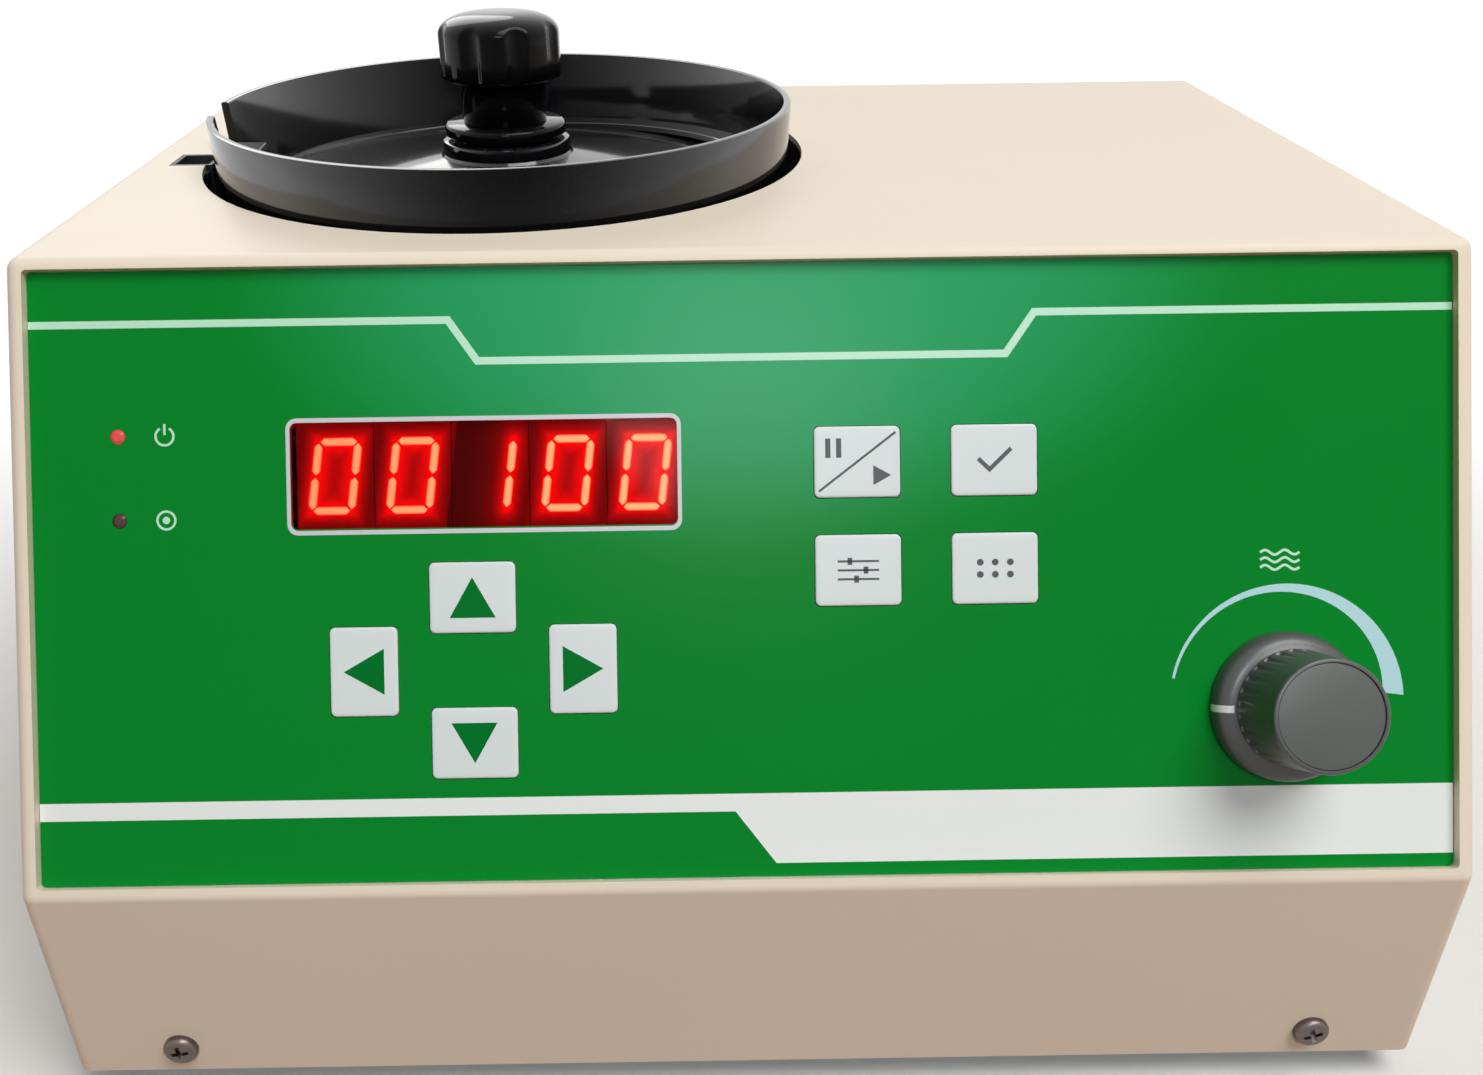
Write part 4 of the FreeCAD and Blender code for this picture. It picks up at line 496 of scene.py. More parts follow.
def brushed_finish(name, base, roughness, stretch=DRAWN_ACROSS, **more):
    """Metal with fine lines along one direction."""
    finish = Finish(name, base, roughness, metallic=1.0, **more)
    lines = use_group(finish.build, "Brushed lines", stretch=stretch)
    finish.relief(lines.outputs["Height"], 0.25, 0.02 * MM)


def turned_finish(name, base, roughness, centre, pitch, bump, **more):
    """Surface with the fine rings of a lathe round an upright axis."""
    finish = Finish(name, base, roughness, **more)
    rings = use_group(finish.build, "Turned rings", centre=tuple(centre), pitch=pitch)
    finish.relief(rings.outputs["Height"], bump, 0.01 * MM)
    return finish


def layered_finish(name, base, edge, pitch, axis, roughness, metallic=0.0):
    """Stacked sheets or wound wire: thin dark lines at an even pitch along one axis."""
    finish = Finish(name, base, roughness, metallic=metallic)
    build = finish.build
    split = build.add("ShaderNodeSeparateXYZ", {0: build.object_spot()})
    wave = build.math("SINE", build.math("MULTIPLY", split.outputs[axis], math.tau / pitch))
    mask = build.math("GREATER_THAN", wave, 0.6)
    finish.colour_from(build.blend(mask, finish.colour, (*edge, 1.0)))
    finish.relief(wave, 0.4, pitch * 0.3)


def board_finish(name):
    """Green circuit board with copper tracks under the lacquer and pale solder spots."""
    finish = Finish(name, (0.012, 0.11, 0.045), 0.35, shift=0.1)
    build = finish.build
    spot = build.object_spot()
    tracks = build.add("ShaderNodeTexBrick", {
        "Vector": spot, "Scale": 90.0, "Color1": BLACK, "Color2": BLACK, "Mortar": WHITE,
        "Mortar Size": 0.03})
    pads = build.add("ShaderNodeTexVoronoi", {"Vector": spot, "Scale": 230.0, "Randomness": 0.35})
    solder = build.math("LESS_THAN", pads.outputs["Distance"], 0.16)
    copper = build.blend(tracks.outputs["Color"], finish.colour, (0.05, 0.24, 0.08, 1.0))
    finish.colour_from(build.blend(solder, copper, (0.6, 0.6, 0.58, 1.0)))
    finish.relief(tracks.outputs["Color"], 0.3, 0.04 * MM)


def panel_coordinates(build):
    """Sockets for the distance across and up the panel of the point being shaded, in metres."""
    spot = build.object_spot()
    across = build.add("ShaderNodeSeparateXYZ", {0: spot}).outputs["X"]
    foot = panel_point(0, 0, 0).dot(UPWARD)
    rise = build.math("SUBTRACT", build.vector("DOT_PRODUCT", spot, tuple(UPWARD)), foot)
    return across, rise


# Painted sheen that makes the film's header paler towards its middle: how far it reaches each way,
# the middle's height up the panel, and its colour
PAINTED_SHEEN_HALF_U = 115 * MM
PAINTED_SHEEN_HALF_V = 66 * MM
PAINTED_SHEEN_V = 134 * MM
PAINTED_SHEEN_COLOUR = (0.024, 0.39, 0.140, 1.0)


def film_finish():
    """Green printed film with a fine sparkle, and a painted sheen that makes its header paler towards the
    middle.
    """
    finish = Finish("green_film", settings().colours.film, 0.34, grain=1500.0, bump=0.12,
                    depth=0.01 * MM, shift=0.05, spread=0.05)
    build = finish.build
    across, rise = panel_coordinates(build)
    aside = build.math("DIVIDE", across, PAINTED_SHEEN_HALF_U)
    above = build.math("DIVIDE", build.math("SUBTRACT", rise, PAINTED_SHEEN_V), PAINTED_SHEEN_HALF_V)
    away = build.math("ADD", build.square(aside), build.square(above))
    # Painted sheen: a paler green blended into the base colour towards the header's middle, in place of a
    # reflection
    finish.colour_from(build.blend(build.ramp(away, 1.0, 0.0), finish.colour, PAINTED_SHEEN_COLOUR))
    finish.set(Coat_Weight=0.12, Coat_Roughness=0.22, Specular_IOR_Level=0.02)


# The display's number places: distance between two, half the width and height of the bars' ring, how
# far it leans, and the middle of the five
DIGIT_PITCH = 16.6 * MM
DIGIT_HALF_SPAN = 4.2 * MM
DIGIT_HALF_RISE = 7.35 * MM
DIGIT_LEAN = math.tan(math.radians(7.0))
DISPLAY_U = -54.0 * MM
DISPLAY_V = 89.2 * MM
DISPLAY_HALF_U = 41 * MM
# A lit bar's halo is half as bright at this distance, and the power sets how fast it fades beyond
HALO_REACH = 1.6 * MM
HALO_POWER = 2.4


def display_finish():
    """Face of the number modules: dark red, with a halo where a bar is lit behind the filter."""
    finish = Finish("display_glow", (0.016, 0.001, 0.002), 0.45, grain=1200.0)
    finish.set(Specular_IOR_Level=0.03)
    build = finish.build
    away = use_group(build, "Digit distances").outputs["Lit"]
    fading = build.math("POWER", build.math("DIVIDE", away, HALO_REACH), HALO_POWER)
    near = build.math("DIVIDE", 1.0, build.math("ADD", 1.0, fading))
    speck = build.noise(build.object_spot(), 900.0, 2.0)
    level = build.math("MULTIPLY", near, build.math("ADD", 0.75, build.math("MULTIPLY", speck, 0.5)))
    normal = build.add("ShaderNodeNewGeometry").outputs["Normal"]
    outward = build.vector("DOT_PRODUCT", normal, tuple(OUTWARD))
    glow = build.blend(level, (0.030, 0.0, 0.002, 1.0), (1.0, 0.002, 0.006, 1.0))
    finish.glow(build.blend(build.math("GREATER_THAN", outward, 0.9), BLACK, glow), 1.0)


def segment_finish():
    """Lit bars: pale along the middle and red at their edges, more yellow to the right."""
    finish = Finish("segment_light", (0.4, 0.1, 0.06), 0.5)
    finish.set(Specular_IOR_Level=0.03)
    build = finish.build
    across, _ = panel_coordinates(build)
    share = build.ramp(across, DISPLAY_U - DISPLAY_HALF_U, DISPLAY_U + DISPLAY_HALF_U, "LINEAR")
    core = build.blend(share, (1.0, 0.66, 0.38, 1.0), (1.0, 1.0, 0.62, 1.0))
    away = use_group(build, "Digit distances").outputs["Outline"]
    edge = build.ramp(away, 0.35 * MM, 1.0 * MM)
    finish.glow(build.blend(edge, core, (1.0, 0.12, 0.07, 1.0)), 1.6)


def panel_finishes():
    """Paint, film, prints, keys, lamps and knob."""
    tones = settings().colours
    paint = Finish("cream_paint", tones.paint, 0.42, grain=1300.0, bump=0.22, depth=0.03 * MM,
                   shift=0.025, spread=0.06, dust=0.05)
    paint.set(Coat_Weight=0.05, Coat_Roughness=0.3, Specular_IOR_Level=0.25)
    film_finish()
    display_finish()
    segment_finish()
    window = Finish("red_filter", (1.0, 0.30, 0.22), 0.06, grain=300.0, bump=0.03, shift=0.02, spread=0.04)
    window.set(Transmission_Weight=1.0, IOR=1.08)
    keys = Finish("key_white", tones.keys, 0.36, grain=1400.0, bump=0.08, shift=0.02)
    keys.set(Coat_Weight=0.1, Coat_Roughness=0.25, Specular_IOR_Level=0.2)
    for name, base, roughness, shift in (
            ("print_white", tones.white, 0.38, 0.02), ("print_mint", tones.mint, 0.38, 0.03),
            ("print_scale", tones.scale, 0.38, 0.02), ("print_frame", tones.frame, 0.38, 0.02),
            ("print_dark", linear(58, 60, 62), 0.45, 0.04)):
        Finish(name, base, roughness, grain=1500.0, bump=0.05, shift=shift)
    arrows = Finish("print_green", tones.arrows, 0.36, grain=1500.0, bump=0.05, shift=0.03)
    arrows.set(Specular_IOR_Level=0.05)
    knob = Finish("knob_grey", tones.knob, 0.38, grain=1700.0, bump=0.18, shift=0.04, dust=0.05)
    knob.set(Coat_Weight=0.2, Coat_Roughness=0.18)
    Finish("knob_disc", tones.disc, 0.40, grain=2200.0, bump=0.2, shift=0.03)
    lamp = Finish("lamp_red", linear(196, 60, 60), 0.2, grain=600.0, bump=0.02)
    lamp.glow((0.7, 0.05, 0.06, 1.0), 0.35)
    Finish("lamp_dark", linear(70, 34, 34), 0.2, grain=600.0, bump=0.02)


def bowl_finishes():
    """Glossy black of the bowl, its washer and its hand knob."""
    black = settings().colours.black
    bowl = turned_finish("bowl_black", black, 0.19, BOWL_SEAT, 0.8 * MM, bump=0.05, shift=0.12,
                         spread=0.07, dust=0.05)
    bowl.slanted_coat(2.6, 0.09, 1.9).set(Specular_IOR_Level=0.05)
    knob = Finish("hand_knob_black", tuple(value * 0.7 for value in black), 0.16, grain=500.0, bump=0.03,
                  shift=0.1, spread=0.05, dust=0.02)
    knob.slanted_coat(1.0, 0.05).set(Specular_IOR_Level=0.05)


def inner_finishes():
    """Plastics, rubber, metals and layered stock of the parts inside, behind and below."""
    Finish("soft_black", linear(24, 24, 25), 0.48, grain=1500.0, bump=0.15, shift=0.1)
    Finish("rubber", linear(28, 28, 29), 0.72, grain=1800.0, bump=0.3, shift=0.12, dust=0.08)
    Finish("moulded_dark", linear(34, 34, 36), 0.42, grain=1600.0, bump=0.15, shift=0.08)
    Finish("lens_dark", linear(30, 28, 44), 0.12, grain=600.0, bump=0.02)
    Finish("cast_grey", linear(92, 96, 98), 0.55, grain=700.0, bump=0.5, depth=0.08 * MM, shift=0.08,
           dust=0.2)
    brushed_finish("zinc_sheet", (0.55, 0.56, 0.57), 0.42, shift=0.1)
    brushed_finish("plain_aluminium", (0.68, 0.69, 0.70), 0.35)
    brushed_finish("turned_steel", (0.60, 0.60, 0.60), 0.28, stretch=(2500.0, 2500.0, 40.0))
    brushed_finish("screw_nickel", (0.16, 0.13, 0.12), 0.36, stretch=(900.0, 900.0, 900.0), shift=0.15,
                   spread=0.15)
    brushed_finish("brass", (0.72, 0.50, 0.20), 0.3, stretch=(2500.0, 2500.0, 60.0))
    brushed_finish("cast_alloy", (0.56, 0.57, 0.58), 0.5, stretch=(700.0, 700.0, 700.0), shift=0.1)
    layered_finish("laminated_iron", (0.16, 0.16, 0.18), (0.03, 0.03, 0.03), 0.9 * MM, "Y", 0.5, metallic=0.6)
    layered_finish("wound_copper", (0.42, 0.13, 0.05), (0.10, 0.03, 0.01), 0.7 * MM, "Z", 0.35, metallic=0.7)
    layered_finish("fibre_leaf", linear(178, 168, 96), linear(140, 128, 66), 1.1 * MM, "Z", 0.45)
    board_finish("circuit_green")


# Which material each of the record's slots shows
SLOT_FINISHES = {
    "case_paint": "cream_paint", "rear_paint": "cream_paint", "drawer_paint": "cream_paint",
    "tray_steel": "zinc_sheet", "foot_rubber": "rubber", "screw_steel": "screw_nickel",
    "plate_aluminium": "plain_aluminium", "overlay_film": "green_film", "key_film": "key_white",
    "board_green": "circuit_green", "switch_black": "moulded_dark", "window_clear": "red_filter",
    "display_dark": "display_glow", "display_lit": "segment_light", "lamp_red": "lamp_red",
    "lamp_dark": "lamp_dark", "knob_grey": "knob_grey", "knob_disc": "knob_disc",
    "shaft_steel": "turned_steel", "pot_metal": "zinc_sheet", "nut_metal": "screw_nickel",
    "bowl_black": "bowl_black", "washer_black": "hand_knob_black", "hand_knob_black": "hand_knob_black",
    "insert_brass": "brass", "cast_grey": "cast_grey", "carrier_alloy": "cast_alloy",
    "leaf_epoxy": "fibre_leaf", "clamp_steel": "turned_steel", "bolt_steel": "screw_nickel",
    "core_iron": "laminated_iron",
    "coil_copper": "wound_copper", "funnel_black": "soft_black", "lens_dark": "lens_dark",
    "inlet_black": "soft_black", "rocker_black": "moulded_dark", "transformer_iron": "laminated_iron",
    "component_mix": "moulded_dark", "standoff_brass": "brass",
}


# Mesh building


def panel_point(u, v, w):
    """Point of the panel at a distance across, up the slope and out of the case's face."""
    sizes = settings().panel
    foot = KNOB_SEAT - ACROSS * KNOB_SEAT.x - UPWARD * sizes.knob_v
    return foot + ACROSS * u + UPWARD * v + OUTWARD * w


def finish_mesh(name, bm, material, angle=35.0):
    """Turn a bmesh into an object with one material, smooth except at its sharp edges."""
    bmesh.ops.remove_doubles(bm, verts=bm.verts, dist=1e-7)
    bmesh.ops.recalc_face_normals(bm, faces=bm.faces)
    mesh = bpy.data.meshes.new(name)
    bm.to_mesh(mesh)
    bm.free()
    mesh.materials.append(MATERIALS[material])
    mesh.shade_smooth()
    mesh.set_sharp_from_angle(angle=math.radians(angle))
    thing = bpy.data.objects.new(name, mesh)
    bpy.context.scene.collection.objects.link(thing)
    return thing


def seat(thing, body, slot, *nodes):
    """Let a finished piece ride on a body and stand for CAD nodes; the slot is not used."""
    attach(thing, body)
    if nodes:
        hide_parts(*nodes)
    return thing


def body_of_node(node):
    """Name of the body that a CAD node belongs to."""
    return frame["nodes"][node]["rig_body"]


def slot_of_node(node):
    """The record's material slot of a CAD node."""
    return next(row["material_slot"] for row in frame["record"]["subparts"] if row["node"] == node)


def add_skin(bm, rows, looped=False):
    """Skin through rows of points of equal number: capped at both ends, or looped from last to first."""
    rings = [[bm.verts.new(point) for point in row] for row in rows]
    if looped:
        rings.append(rings[0])
    else:
        bm.faces.new(rings[0][::-1])
        bm.faces.new(rings[-1])
    for before, after in zip(rings, rings[1:]):
        for index in range(len(before)):
            step = (index + 1) % len(before)
            bm.faces.new((before[index], before[step], after[step], after[index]))


def skin_mesh(name, rows, material, angle=35.0):
    """Object from one closed skin through rows of points."""
    bm = bmesh.new()
    add_skin(bm, rows)
    return finish_mesh(name, bm, material, angle)


def on_panel(outline, w):
    """Points of an outline at a height over the panel's face."""
    return [panel_point(u, v, w) for u, v in outline]


def add_prism(bm, outline, low, high):
    """Closed plate between two heights over the panel from a 2-D outline."""
    add_skin(bm, [on_panel(outline, low), on_panel(outline, high)])


def add_ring(bm, outer, inner, low, high):
    """Closed frame between two outlines that have the same number of corners."""
    add_skin(bm, [on_panel(outer, low), on_panel(outer, high), on_panel(inner, high), on_panel(inner, low)],
             looped=True)


def stroke(points, width):
    """Outline of a line of even width along a path, mitred at its corners."""
    path = [Vector(point) for point in points]
    left = []
    right = []
    for index, point in enumerate(path):
        before = (point - path[index - 1]).normalized() if index else None
        after = (path[index + 1] - point).normalized() if index + 1 < len(path) else None
        ahead = before or after
        if before and after:
            ahead = (before + after).normalized()
        normal = Vector((-ahead.y, ahead.x))
        share = 1.0
        if before and after:
            share = max(0.35, normal.dot(Vector((-after.y, after.x))))
        left.append(point + normal * (width / 2 / share))
        right.append(point - normal * (width / 2 / share))
    return [tuple(point) for point in right + left[::-1]]


def arc_points(centre, radius, start, end, steps):
    """Points along an arc, its angles in degrees."""
    points = []
    for step in range(steps + 1):
        angle = math.radians(start + (end - start) * step / steps)
        points.append((centre[0] + radius * math.cos(angle), centre[1] + radius * math.sin(angle)))
    return points


def rounded_outline(centre, half_u, half_v, corner, steps=6):
    """Rounded rectangle as a closed outline."""
    points = []
    for turn, (side_u, side_v) in enumerate(((1, 1), (-1, 1), (-1, -1), (1, -1))):
        middle = (centre[0] + side_u * (half_u - corner), centre[1] + side_v * (half_v - corner))
        points += arc_points(middle, corner, 90 * turn, 90 * turn + 90, steps)
    return points


def print_height():
    """Lower and upper side of the thin print, over the panel's face."""
    sizes = settings().panel
    return sizes.film - 0.01 * MM, sizes.film + sizes.print_height


def printed(name, shapes, material, rings=()):
    """Thin print on the film from closed outlines and (outer, inner) frames."""
    bm = bmesh.new()
    low, high = print_height()
    for outline in shapes:
        add_prism(bm, outline, low, high)
    for outer, inner in rings:
        add_ring(bm, outer, inner, low, high)
    return seat(finish_mesh(name, bm, material), "case", "key_film")


# Geometry node trees


def new_tree(name, inputs):
    """Geometry node tree with a geometry socket at each end and the given named inputs."""
    tree = bpy.data.node_groups.new(name, "GeometryNodeTree")
    tree.interface.new_socket("Geometry", in_out="INPUT", socket_type="NodeSocketGeometry")
    for title, kind in inputs:
        tree.interface.new_socket(title, in_out="INPUT", socket_type=kind)
    tree.interface.new_socket("Geometry", in_out="OUTPUT", socket_type="NodeSocketGeometry")
    builder = NodeBuilder(tree)
    return tree, builder, builder.add("NodeGroupInput"), builder.add("NodeGroupOutput")


def close_tree(build, geometry, material, leave):
    """Realize instances, set the material and leave the tree."""
    real = build.add("GeometryNodeRealizeInstances", {0: geometry})
    painted = build.add("GeometryNodeSetMaterial", {"Geometry": real.outputs[0], "Material": material})
    build.put(leave.inputs[0], painted.outputs[0])


def turned_tree():
    """Turns a profile round the upright axis, with scoops cut round it between two heights.

    Each scoop is part of a circle; a soft minimum rounds the edge between scoop and rim.
    """
    tree, build, entry, leave = new_tree("Turned and scooped", [
        ("Profile", "NodeSocketObject"), ("Segments", "NodeSocketInt"), ("Scoops", "NodeSocketInt"),
        ("Scoop radius", "NodeSocketFloat"), ("Scoop reach", "NodeSocketFloat"),
        ("Scoop foot", "NodeSocketFloat"), ("Scoop top", "NodeSocketFloat"),
        ("Edge softness", "NodeSocketFloat"), ("Material", "NodeSocketMaterial")])
    source = build.add("GeometryNodeObjectInfo", {"Object": entry.outputs["Profile"]}).outputs["Geometry"]
    points = build.add("GeometryNodeAttributeDomainSize", {"Geometry": source}).outputs["Point Count"]
    columns = build.math("ADD", entry.outputs["Segments"], 1.0)
    grid = build.add("GeometryNodeMeshGrid", {"Vertices X": points, "Vertices Y": columns})
    index = build.add("GeometryNodeInputIndex").outputs[0]
    row = build.math("FLOOR", build.math("DIVIDE", build.math("ADD", index, 0.5), columns))
    column = build.math("SUBTRACT", index, build.math("MULTIPLY", row, columns))
    sample = build.add("GeometryNodeSampleIndex", data_type="FLOAT_VECTOR")
    build.put(sample.inputs["Geometry"], source)
    build.put(sample.inputs["Value"], build.add("GeometryNodeInputPosition").outputs[0])
    build.put(sample.inputs["Index"], row)
    spot = build.add("ShaderNodeSeparateXYZ", {0: sample.outputs[0]})
    radius = spot.outputs["X"]
    height = spot.outputs["Z"]
    turn = build.math("DIVIDE", column, entry.outputs["Segments"])
    angle = build.math("MULTIPLY", turn, math.tau)
    share = build.math("FRACT", build.math("MULTIPLY", turn, entry.outputs["Scoops"]))
    swing = build.math("MULTIPLY", build.math("SUBTRACT", share, 0.5),
                       build.math("DIVIDE", math.tau, build.math("MAXIMUM", entry.outputs["Scoops"], 1.0)))
    reach = entry.outputs["Scoop reach"]
    side = build.math("MULTIPLY", reach, build.math("SINE", swing))
    scoop = entry.outputs["Scoop radius"]
    inside = build.math("SUBTRACT", build.square(scoop), build.square(side))
    bite = build.math("SUBTRACT", build.math("MULTIPLY", reach, build.math("COSINE", swing)),
                      build.math("SQRT", build.math("MAXIMUM", inside, 0.0)))
    cut = build.math("SMOOTH_MIN", radius, bite, entry.outputs["Edge softness"])
    in_scoop = build.math("GREATER_THAN", inside, 0.0)
    over = build.math("GREATER_THAN", height, entry.outputs["Scoop foot"])
    under = build.math("LESS_THAN", height, entry.outputs["Scoop top"])
    mask = build.math("MULTIPLY", in_scoop, build.math("MULTIPLY", over, under))
    shaped = build.math("ADD", build.math("MULTIPLY", cut, mask),
                        build.math("MULTIPLY", radius, build.math("SUBTRACT", 1.0, mask)))
    place_point = build.add("ShaderNodeCombineXYZ", {
        "X": build.math("MULTIPLY", shaped, build.math("COSINE", angle)),
        "Y": build.math("MULTIPLY", shaped, build.math("SINE", angle)), "Z": height})
    moved = build.add("GeometryNodeSetPosition", {
        "Geometry": grid.outputs["Mesh"], "Position": place_point.outputs[0]})
    merged = build.add("GeometryNodeMergeByDistance", {"Geometry": moved.outputs[0], "Distance": 1e-6})
    close_tree(build, merged.outputs[0], entry.outputs["Material"], leave)
    return tree


def screws_tree():
    """Puts one modelled screw at every point, turned to the point's own direction and by its own twist."""
    tree, build, entry, leave = new_tree("Screws at points", [
        ("Screw", "NodeSocketObject"), ("Seed", "NodeSocketInt"), ("Material", "NodeSocketMaterial")])
    screw = build.add("GeometryNodeObjectInfo", {"Object": entry.outputs["Screw"]}).outputs["Geometry"]
    way = build.add("GeometryNodeInputNamedAttribute", {"Name": "way"}, data_type="FLOAT_VECTOR")
    aim = build.add("FunctionNodeAlignRotationToVector", {"Vector": way.outputs[0]}, axis="Z")
    twist = build.add("FunctionNodeRandomValue", {"Seed": entry.outputs["Seed"]}, data_type="FLOAT")
    twist.inputs[2].default_value = 0.0
    twist.inputs[3].default_value = math.tau
    spin = build.add("FunctionNodeAxisAngleToRotation", {"Axis": (0.0, 0.0, 1.0), "Angle": twist.outputs[1]})
    turn = build.add("FunctionNodeRotateRotation", {"Rotation": aim.outputs[0], "Rotate By": spin.outputs[0]},
                     rotation_space="LOCAL")
    placed = build.add("GeometryNodeInstanceOnPoints", {
        "Points": entry.outputs["Geometry"], "Instance": screw, "Rotation": turn.outputs[0]})
    close_tree(build, placed.outputs[0], entry.outputs["Material"], leave)
    return tree


TREE_BUILDERS = {"Turned and scooped": turned_tree, "Screws at points": screws_tree}


def grow(name, carrier, tree_name, **inputs):
    """Run a geometry node tree on a carrier mesh and keep its result as a plain mesh."""
    tree = bpy.data.node_groups.get(tree_name) or TREE_BUILDERS[tree_name]()
    thing = bpy.data.objects.new(name, carrier)
    bpy.context.scene.collection.objects.link(thing)
    modifier = thing.modifiers.new("Shape", "NODES")
    modifier.node_group = tree
    sockets = {item.name: item.identifier for item in tree.interface.items_tree if item.in_out == "INPUT"}
    for title, value in inputs.items():
        modifier[sockets[title.replace("_", " ").capitalize()]] = value
    evaluated = thing.evaluated_get(bpy.context.evaluated_depsgraph_get())
    mesh = bpy.data.meshes.new_from_object(evaluated)
    thing.modifiers.remove(modifier)
    thing.data = mesh
    mesh.name = name
    return thing


def clean_normals(thing, angle=35.0):
    """Merge doubles, point faces outwards and mark sharp edges on a mesh grown from nodes."""
    bm = bmesh.new()
    bm.from_mesh(thing.data)
    bmesh.ops.remove_doubles(bm, verts=bm.verts, dist=1e-6)
    bmesh.ops.dissolve_degenerate(bm, edges=bm.edges, dist=1e-7)
    bmesh.ops.recalc_face_normals(bm, faces=bm.faces)
    bm.to_mesh(thing.data)
    bm.free()
    thing.data.shade_smooth()
    thing.data.set_sharp_from_angle(angle=math.radians(angle))
    return thing


def profile_object(name, points):
    """Hidden helper whose points, (radius, height), are the profile of a turned piece."""
    mesh = bpy.data.meshes.new(name)
    mesh.from_pydata([(radius, 0.0, height) for radius, height in points], [], [])
    helper = bpy.data.objects.new(name, mesh)
    bpy.context.scene.collection.objects.link(helper)
    return helper


def turned_piece(name, points, material, segments, scoops=0, scoop_radius=0.001, scoop_reach=1.0, foot=1.0,
                 top=1.0, softness=0.0, angle=35.0):
    """Turned piece about the upright axis from (radius, height) points, its scoops evenly round it.

    The scoops reach from their foot to their top, and softness rounds their edges.
    """
    helper = profile_object(name + "_profile", points)
    thing = grow(name, bpy.data.meshes.new(name), "Turned and scooped", profile=helper, segments=segments,
                 scoops=scoops, scoop_radius=scoop_radius, scoop_reach=scoop_reach, scoop_foot=foot,
                 scoop_top=top, edge_softness=softness, material=MATERIALS[material])
    bpy.data.objects.remove(helper)
    return clean_normals(thing, angle)


def set_down(thing, matrix):
    """Move a piece's mesh to its place, its object staying at the origin."""
    thing.data.transform(matrix)
    thing.data.update()
    return thing


def panel_matrix(u, v, w):
    """Matrix that stands an upright piece on the panel at a place."""
    turn = Matrix((ACROSS, UPWARD, OUTWARD)).transposed().to_4x4()
    return Matrix.Translation(panel_point(u, v, w)) @ turn


def join_and_cut(thing, added=(), removed=()):
    """Unite other closed meshes with a piece, cut others from it, and delete them."""
    for operation, others in (("UNION", added), ("DIFFERENCE", removed)):
        for other in others:
            modifier = thing.modifiers.new(operation.title(), "BOOLEAN")
            modifier.operation = operation
            modifier.solver = "EXACT"
            modifier.object = other
            evaluated = thing.evaluated_get(bpy.context.evaluated_depsgraph_get())
            mesh = bpy.data.meshes.new_from_object(evaluated)
            thing.modifiers.remove(modifier)
            thing.data = mesh
            bpy.data.objects.remove(other)
    return thing


# Operators, one for each piece or group of like pieces


class SEEDCOUNTER_OT_finishes(Operator):
    """Build every material and give it to the CAD nodes of its slot"""
    bl_idname = "seed_counter.finishes"
    bl_label = "Finishes"

    def execute(self, context):
        panel_finishes()
        bowl_finishes()
        inner_finishes()
        for row in frame["record"]["subparts"]:
            node = frame["nodes"][row["node"]]
            node.data.materials.clear()
            node.data.materials.append(MATERIALS[SLOT_FINISHES[row["material_slot"]]])
        return {"FINISHED"}


# Marks beside the lamps: their middle across the panel, the radius of their rings and their lines
MARKS_U = -122.5 * MM
MARK_RADIUS = 1.9 * MM
MARK_LINE = 0.5 * MM


class SEEDCOUNTER_OT_panel_print(Operator):
    """Print the header line, the white band, the speed scale and the marks on the film"""
    bl_idname = "seed_counter.panel_print"
    bl_label = "Panel print"

    def execute(self, context):
        sizes = settings().panel
        edge = sizes.half_width
        header = stroke([(-edge, sizes.header_v), (-sizes.header_bend_u, sizes.header_v),
                         (-sizes.header_dip_u, sizes.header_dip_v), (sizes.header_dip_u, sizes.header_dip_v),
                         (sizes.header_bend_u, sizes.header_v), (edge, sizes.header_v)], sizes.header_line)
        printed("header_line", [header], "print_mint")
        band = [(-edge, sizes.band_thin_v), (sizes.band_break_u, sizes.band_thin_v),
                (sizes.band_full_u, sizes.band_foot_v), (edge, sizes.band_foot_v), (edge, sizes.band_top_v),
                (-edge, sizes.band_top_v)]
        printed("white_band", [band], "print_white")
        printed("speed_scale", [self.scale(sizes)], "print_scale")
        printed("lamp_marks", self.power_mark((MARKS_U, 98.0 * MM)) + self.work_mark((MARKS_U, 80.2 * MM)),
                "print_mint")
        printed("speed_mark", self.speed_waves(), "print_mint")
        return {"FINISHED"}

    def scale(self, sizes):
        """Arc over the speed knob that thickens towards its fast end."""
        steps = 72
        centre = (KNOB_SEAT.x + 0.5 * MM, sizes.knob_v + 1.1 * MM)
        outer = arc_points(centre, sizes.arc_radius, 168, 2, steps)
        inner = []
        for step, (u, v) in enumerate(arc_points((0.0, 0.0), 1.0, 168, 4, steps)):
            thickness = sizes.arc_thin + (sizes.arc_thick - sizes.arc_thin) * (step / steps) ** 1.6
            reach = sizes.arc_radius - thickness
            inner.append((centre[0] + u * reach, centre[1] + v * reach))
        return outer + inner[::-1]

    def power_mark(self, centre):
        """Open ring with an upright stroke."""
        ring = stroke(arc_points(centre, MARK_RADIUS, 120, 420, 24), MARK_LINE)
        bar = stroke([(centre[0], centre[1] + 0.3 * MM), (centre[0], centre[1] + 2.6 * MM)], MARK_LINE)
        return [ring, bar]

    def work_mark(self, centre):
        """Ring round a dot."""
        ring = stroke(arc_points(centre, MARK_RADIUS, 0, 359.9, 28), MARK_LINE)
        return [ring, arc_points(centre, 0.8 * MM, 0, 342, 18)]

    def speed_waves(self):
        """Three wave lines, one above the other, over the speed scale."""
        middle_u = KNOB_SEAT.x - 0.8 * MM
        middle_v = 68.4 * MM
        span = 8.4 * MM
        spacing = 1.6 * MM
        rise = 0.5 * MM
        shapes = []
        for row in (-1, 0, 1):
            path = []
            for step in range(33):
                share = step / 32
                wave = rise * math.sin(share * math.tau * 2)
                path.append((middle_u + (share - 0.5) * span, middle_v + row * spacing + wave))
            shapes.append(stroke(path, 0.55 * MM))
        return shapes


# Width and height of the two kinds of key face
WIDE_KEY = (18.3 * MM, 15.1 * MM)
TALL_KEY = (14.4 * MM, 19.0 * MM)
